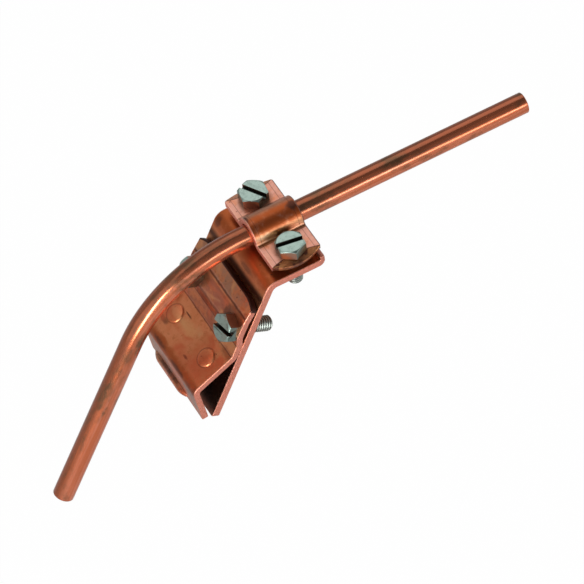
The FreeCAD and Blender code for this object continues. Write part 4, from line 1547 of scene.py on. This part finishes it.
def pale_floor():
    """Matte floor that is almost white to the camera, and a plain pale grey to everything else."""
    material, tree, shader = new_material("pale_floor", 0.0)
    plug(tree, shader.inputs["Base Color"], (0.80, 0.80, 0.80))
    plug(tree, shader.inputs["Roughness"], 0.9)
    rays = Node(tree, "ShaderNodeLightPath")
    seen = maths("MAXIMUM", rays["Is Camera Ray"], rays["Is Glossy Ray"] * 0.2)
    mixed = Node(tree, "ShaderNodeMixShader", {0: seen * 0.99, 1: Wire(tree, shader.outputs[0]),
                                               2: glow(tree, "ShaderNodeEmission", 1)})[0]
    plug(tree, tree.nodes["Material Output"].inputs["Surface"], mixed)
    return material


floor = rectangle("floor", FLOOR_SIZE, FLOOR_SIZE, FLOOR_Z)
floor.data.materials.append(pale_floor())

# %% Lamps and cards
def facing(thing, toward, distance):
    """Put a lamp or a card at a distance in some direction, facing the clamp."""
    direction = Vector(toward).normalized()
    turned = (-direction).to_track_quat("-Z", "Y").to_matrix()
    thing.matrix_world = Matrix.Translation(direction * distance) @ turned.to_4x4()


def soft_lamp(name, toward, distance, width, height, brightness):
    """Rectangular lamp whose face has a given brightness, where 1 is white."""
    data = bpy.data.lights.new(name, "AREA")
    data.shape, data.size, data.size_y = "RECTANGLE", width, height
    data.energy = brightness * math.pi * width * height
    facing(link(bpy.data.objects.new(name, data)), toward, distance)


def grey_card(name, toward, distance, width, height, grey):
    """Card that glows a plain grey, as a lit grey cloth would, seen only by reflections and soft light.
    """
    card = rectangle(name, width, height)
    material = bpy.data.materials.new(name)
    material.use_nodes = True
    material.node_tree.nodes.clear()
    Node(material.node_tree, "ShaderNodeOutputMaterial",
         {"Surface": glow(material.node_tree, "ShaderNodeEmission", grey)})
    card.data.materials.append(material)
    card.visible_camera = card.visible_shadow = False
    facing(card, toward, distance)


soft_lamp("right_lamp", (0.93, 0.22, 0.28), 1.25, 0.85, 0.16, 4.7)
soft_lamp("front_lamp", (0.62, -0.70, 0.16), 1.5, 0.28, 1.05, 17.0)
soft_lamp("back_lamp", (-0.62, 0.30, 0.72), 1.6, 0.9, 0.9, 0.26)
grey_card("overhead_card", (0.42, 0.10, 0.90), 2.6, 4.6, 3.4, 0.17)
grey_card("back_left_card", (-0.93, 0.22, 0.28), 2.6, 3.6, 1.5, 0.45)
grey_card("left_card", (-0.60, -0.60, 0.50), 2.8, 2.4, 2.0, 0.42)
grey_card("low_left_card", (-0.6, -0.75, -0.02), 2.8, 2.4, 1.0, 0.40)
grey_card("low_front_card", (0.60, -0.78, -0.12), 2.6, 0.8, 0.8, 1.5)

# %% World
def make_world():
    """White where the camera or a mirror looks, and a middle grey for soft light."""
    world = bpy.data.worlds.new("studio")
    bpy.context.scene.world = world
    world.use_nodes = True
    tree = world.node_tree
    tree.nodes.clear()
    rays = Node(tree, "ShaderNodeLightPath")
    seen = maths("MAXIMUM", rays["Is Camera Ray"], rays["Is Glossy Ray"])
    seen = maths("MAXIMUM", seen, rays["Is Transmission Ray"])
    mixed = Node(tree, "ShaderNodeMixShader", {0: seen, 1: glow(tree, "ShaderNodeBackground", 0.45),
                                               2: glow(tree, "ShaderNodeBackground", 1)})[0]
    Node(tree, "ShaderNodeOutputWorld", {"Surface": mixed})


make_world()
bpy.context.scene.view_settings.view_transform = "Standard"
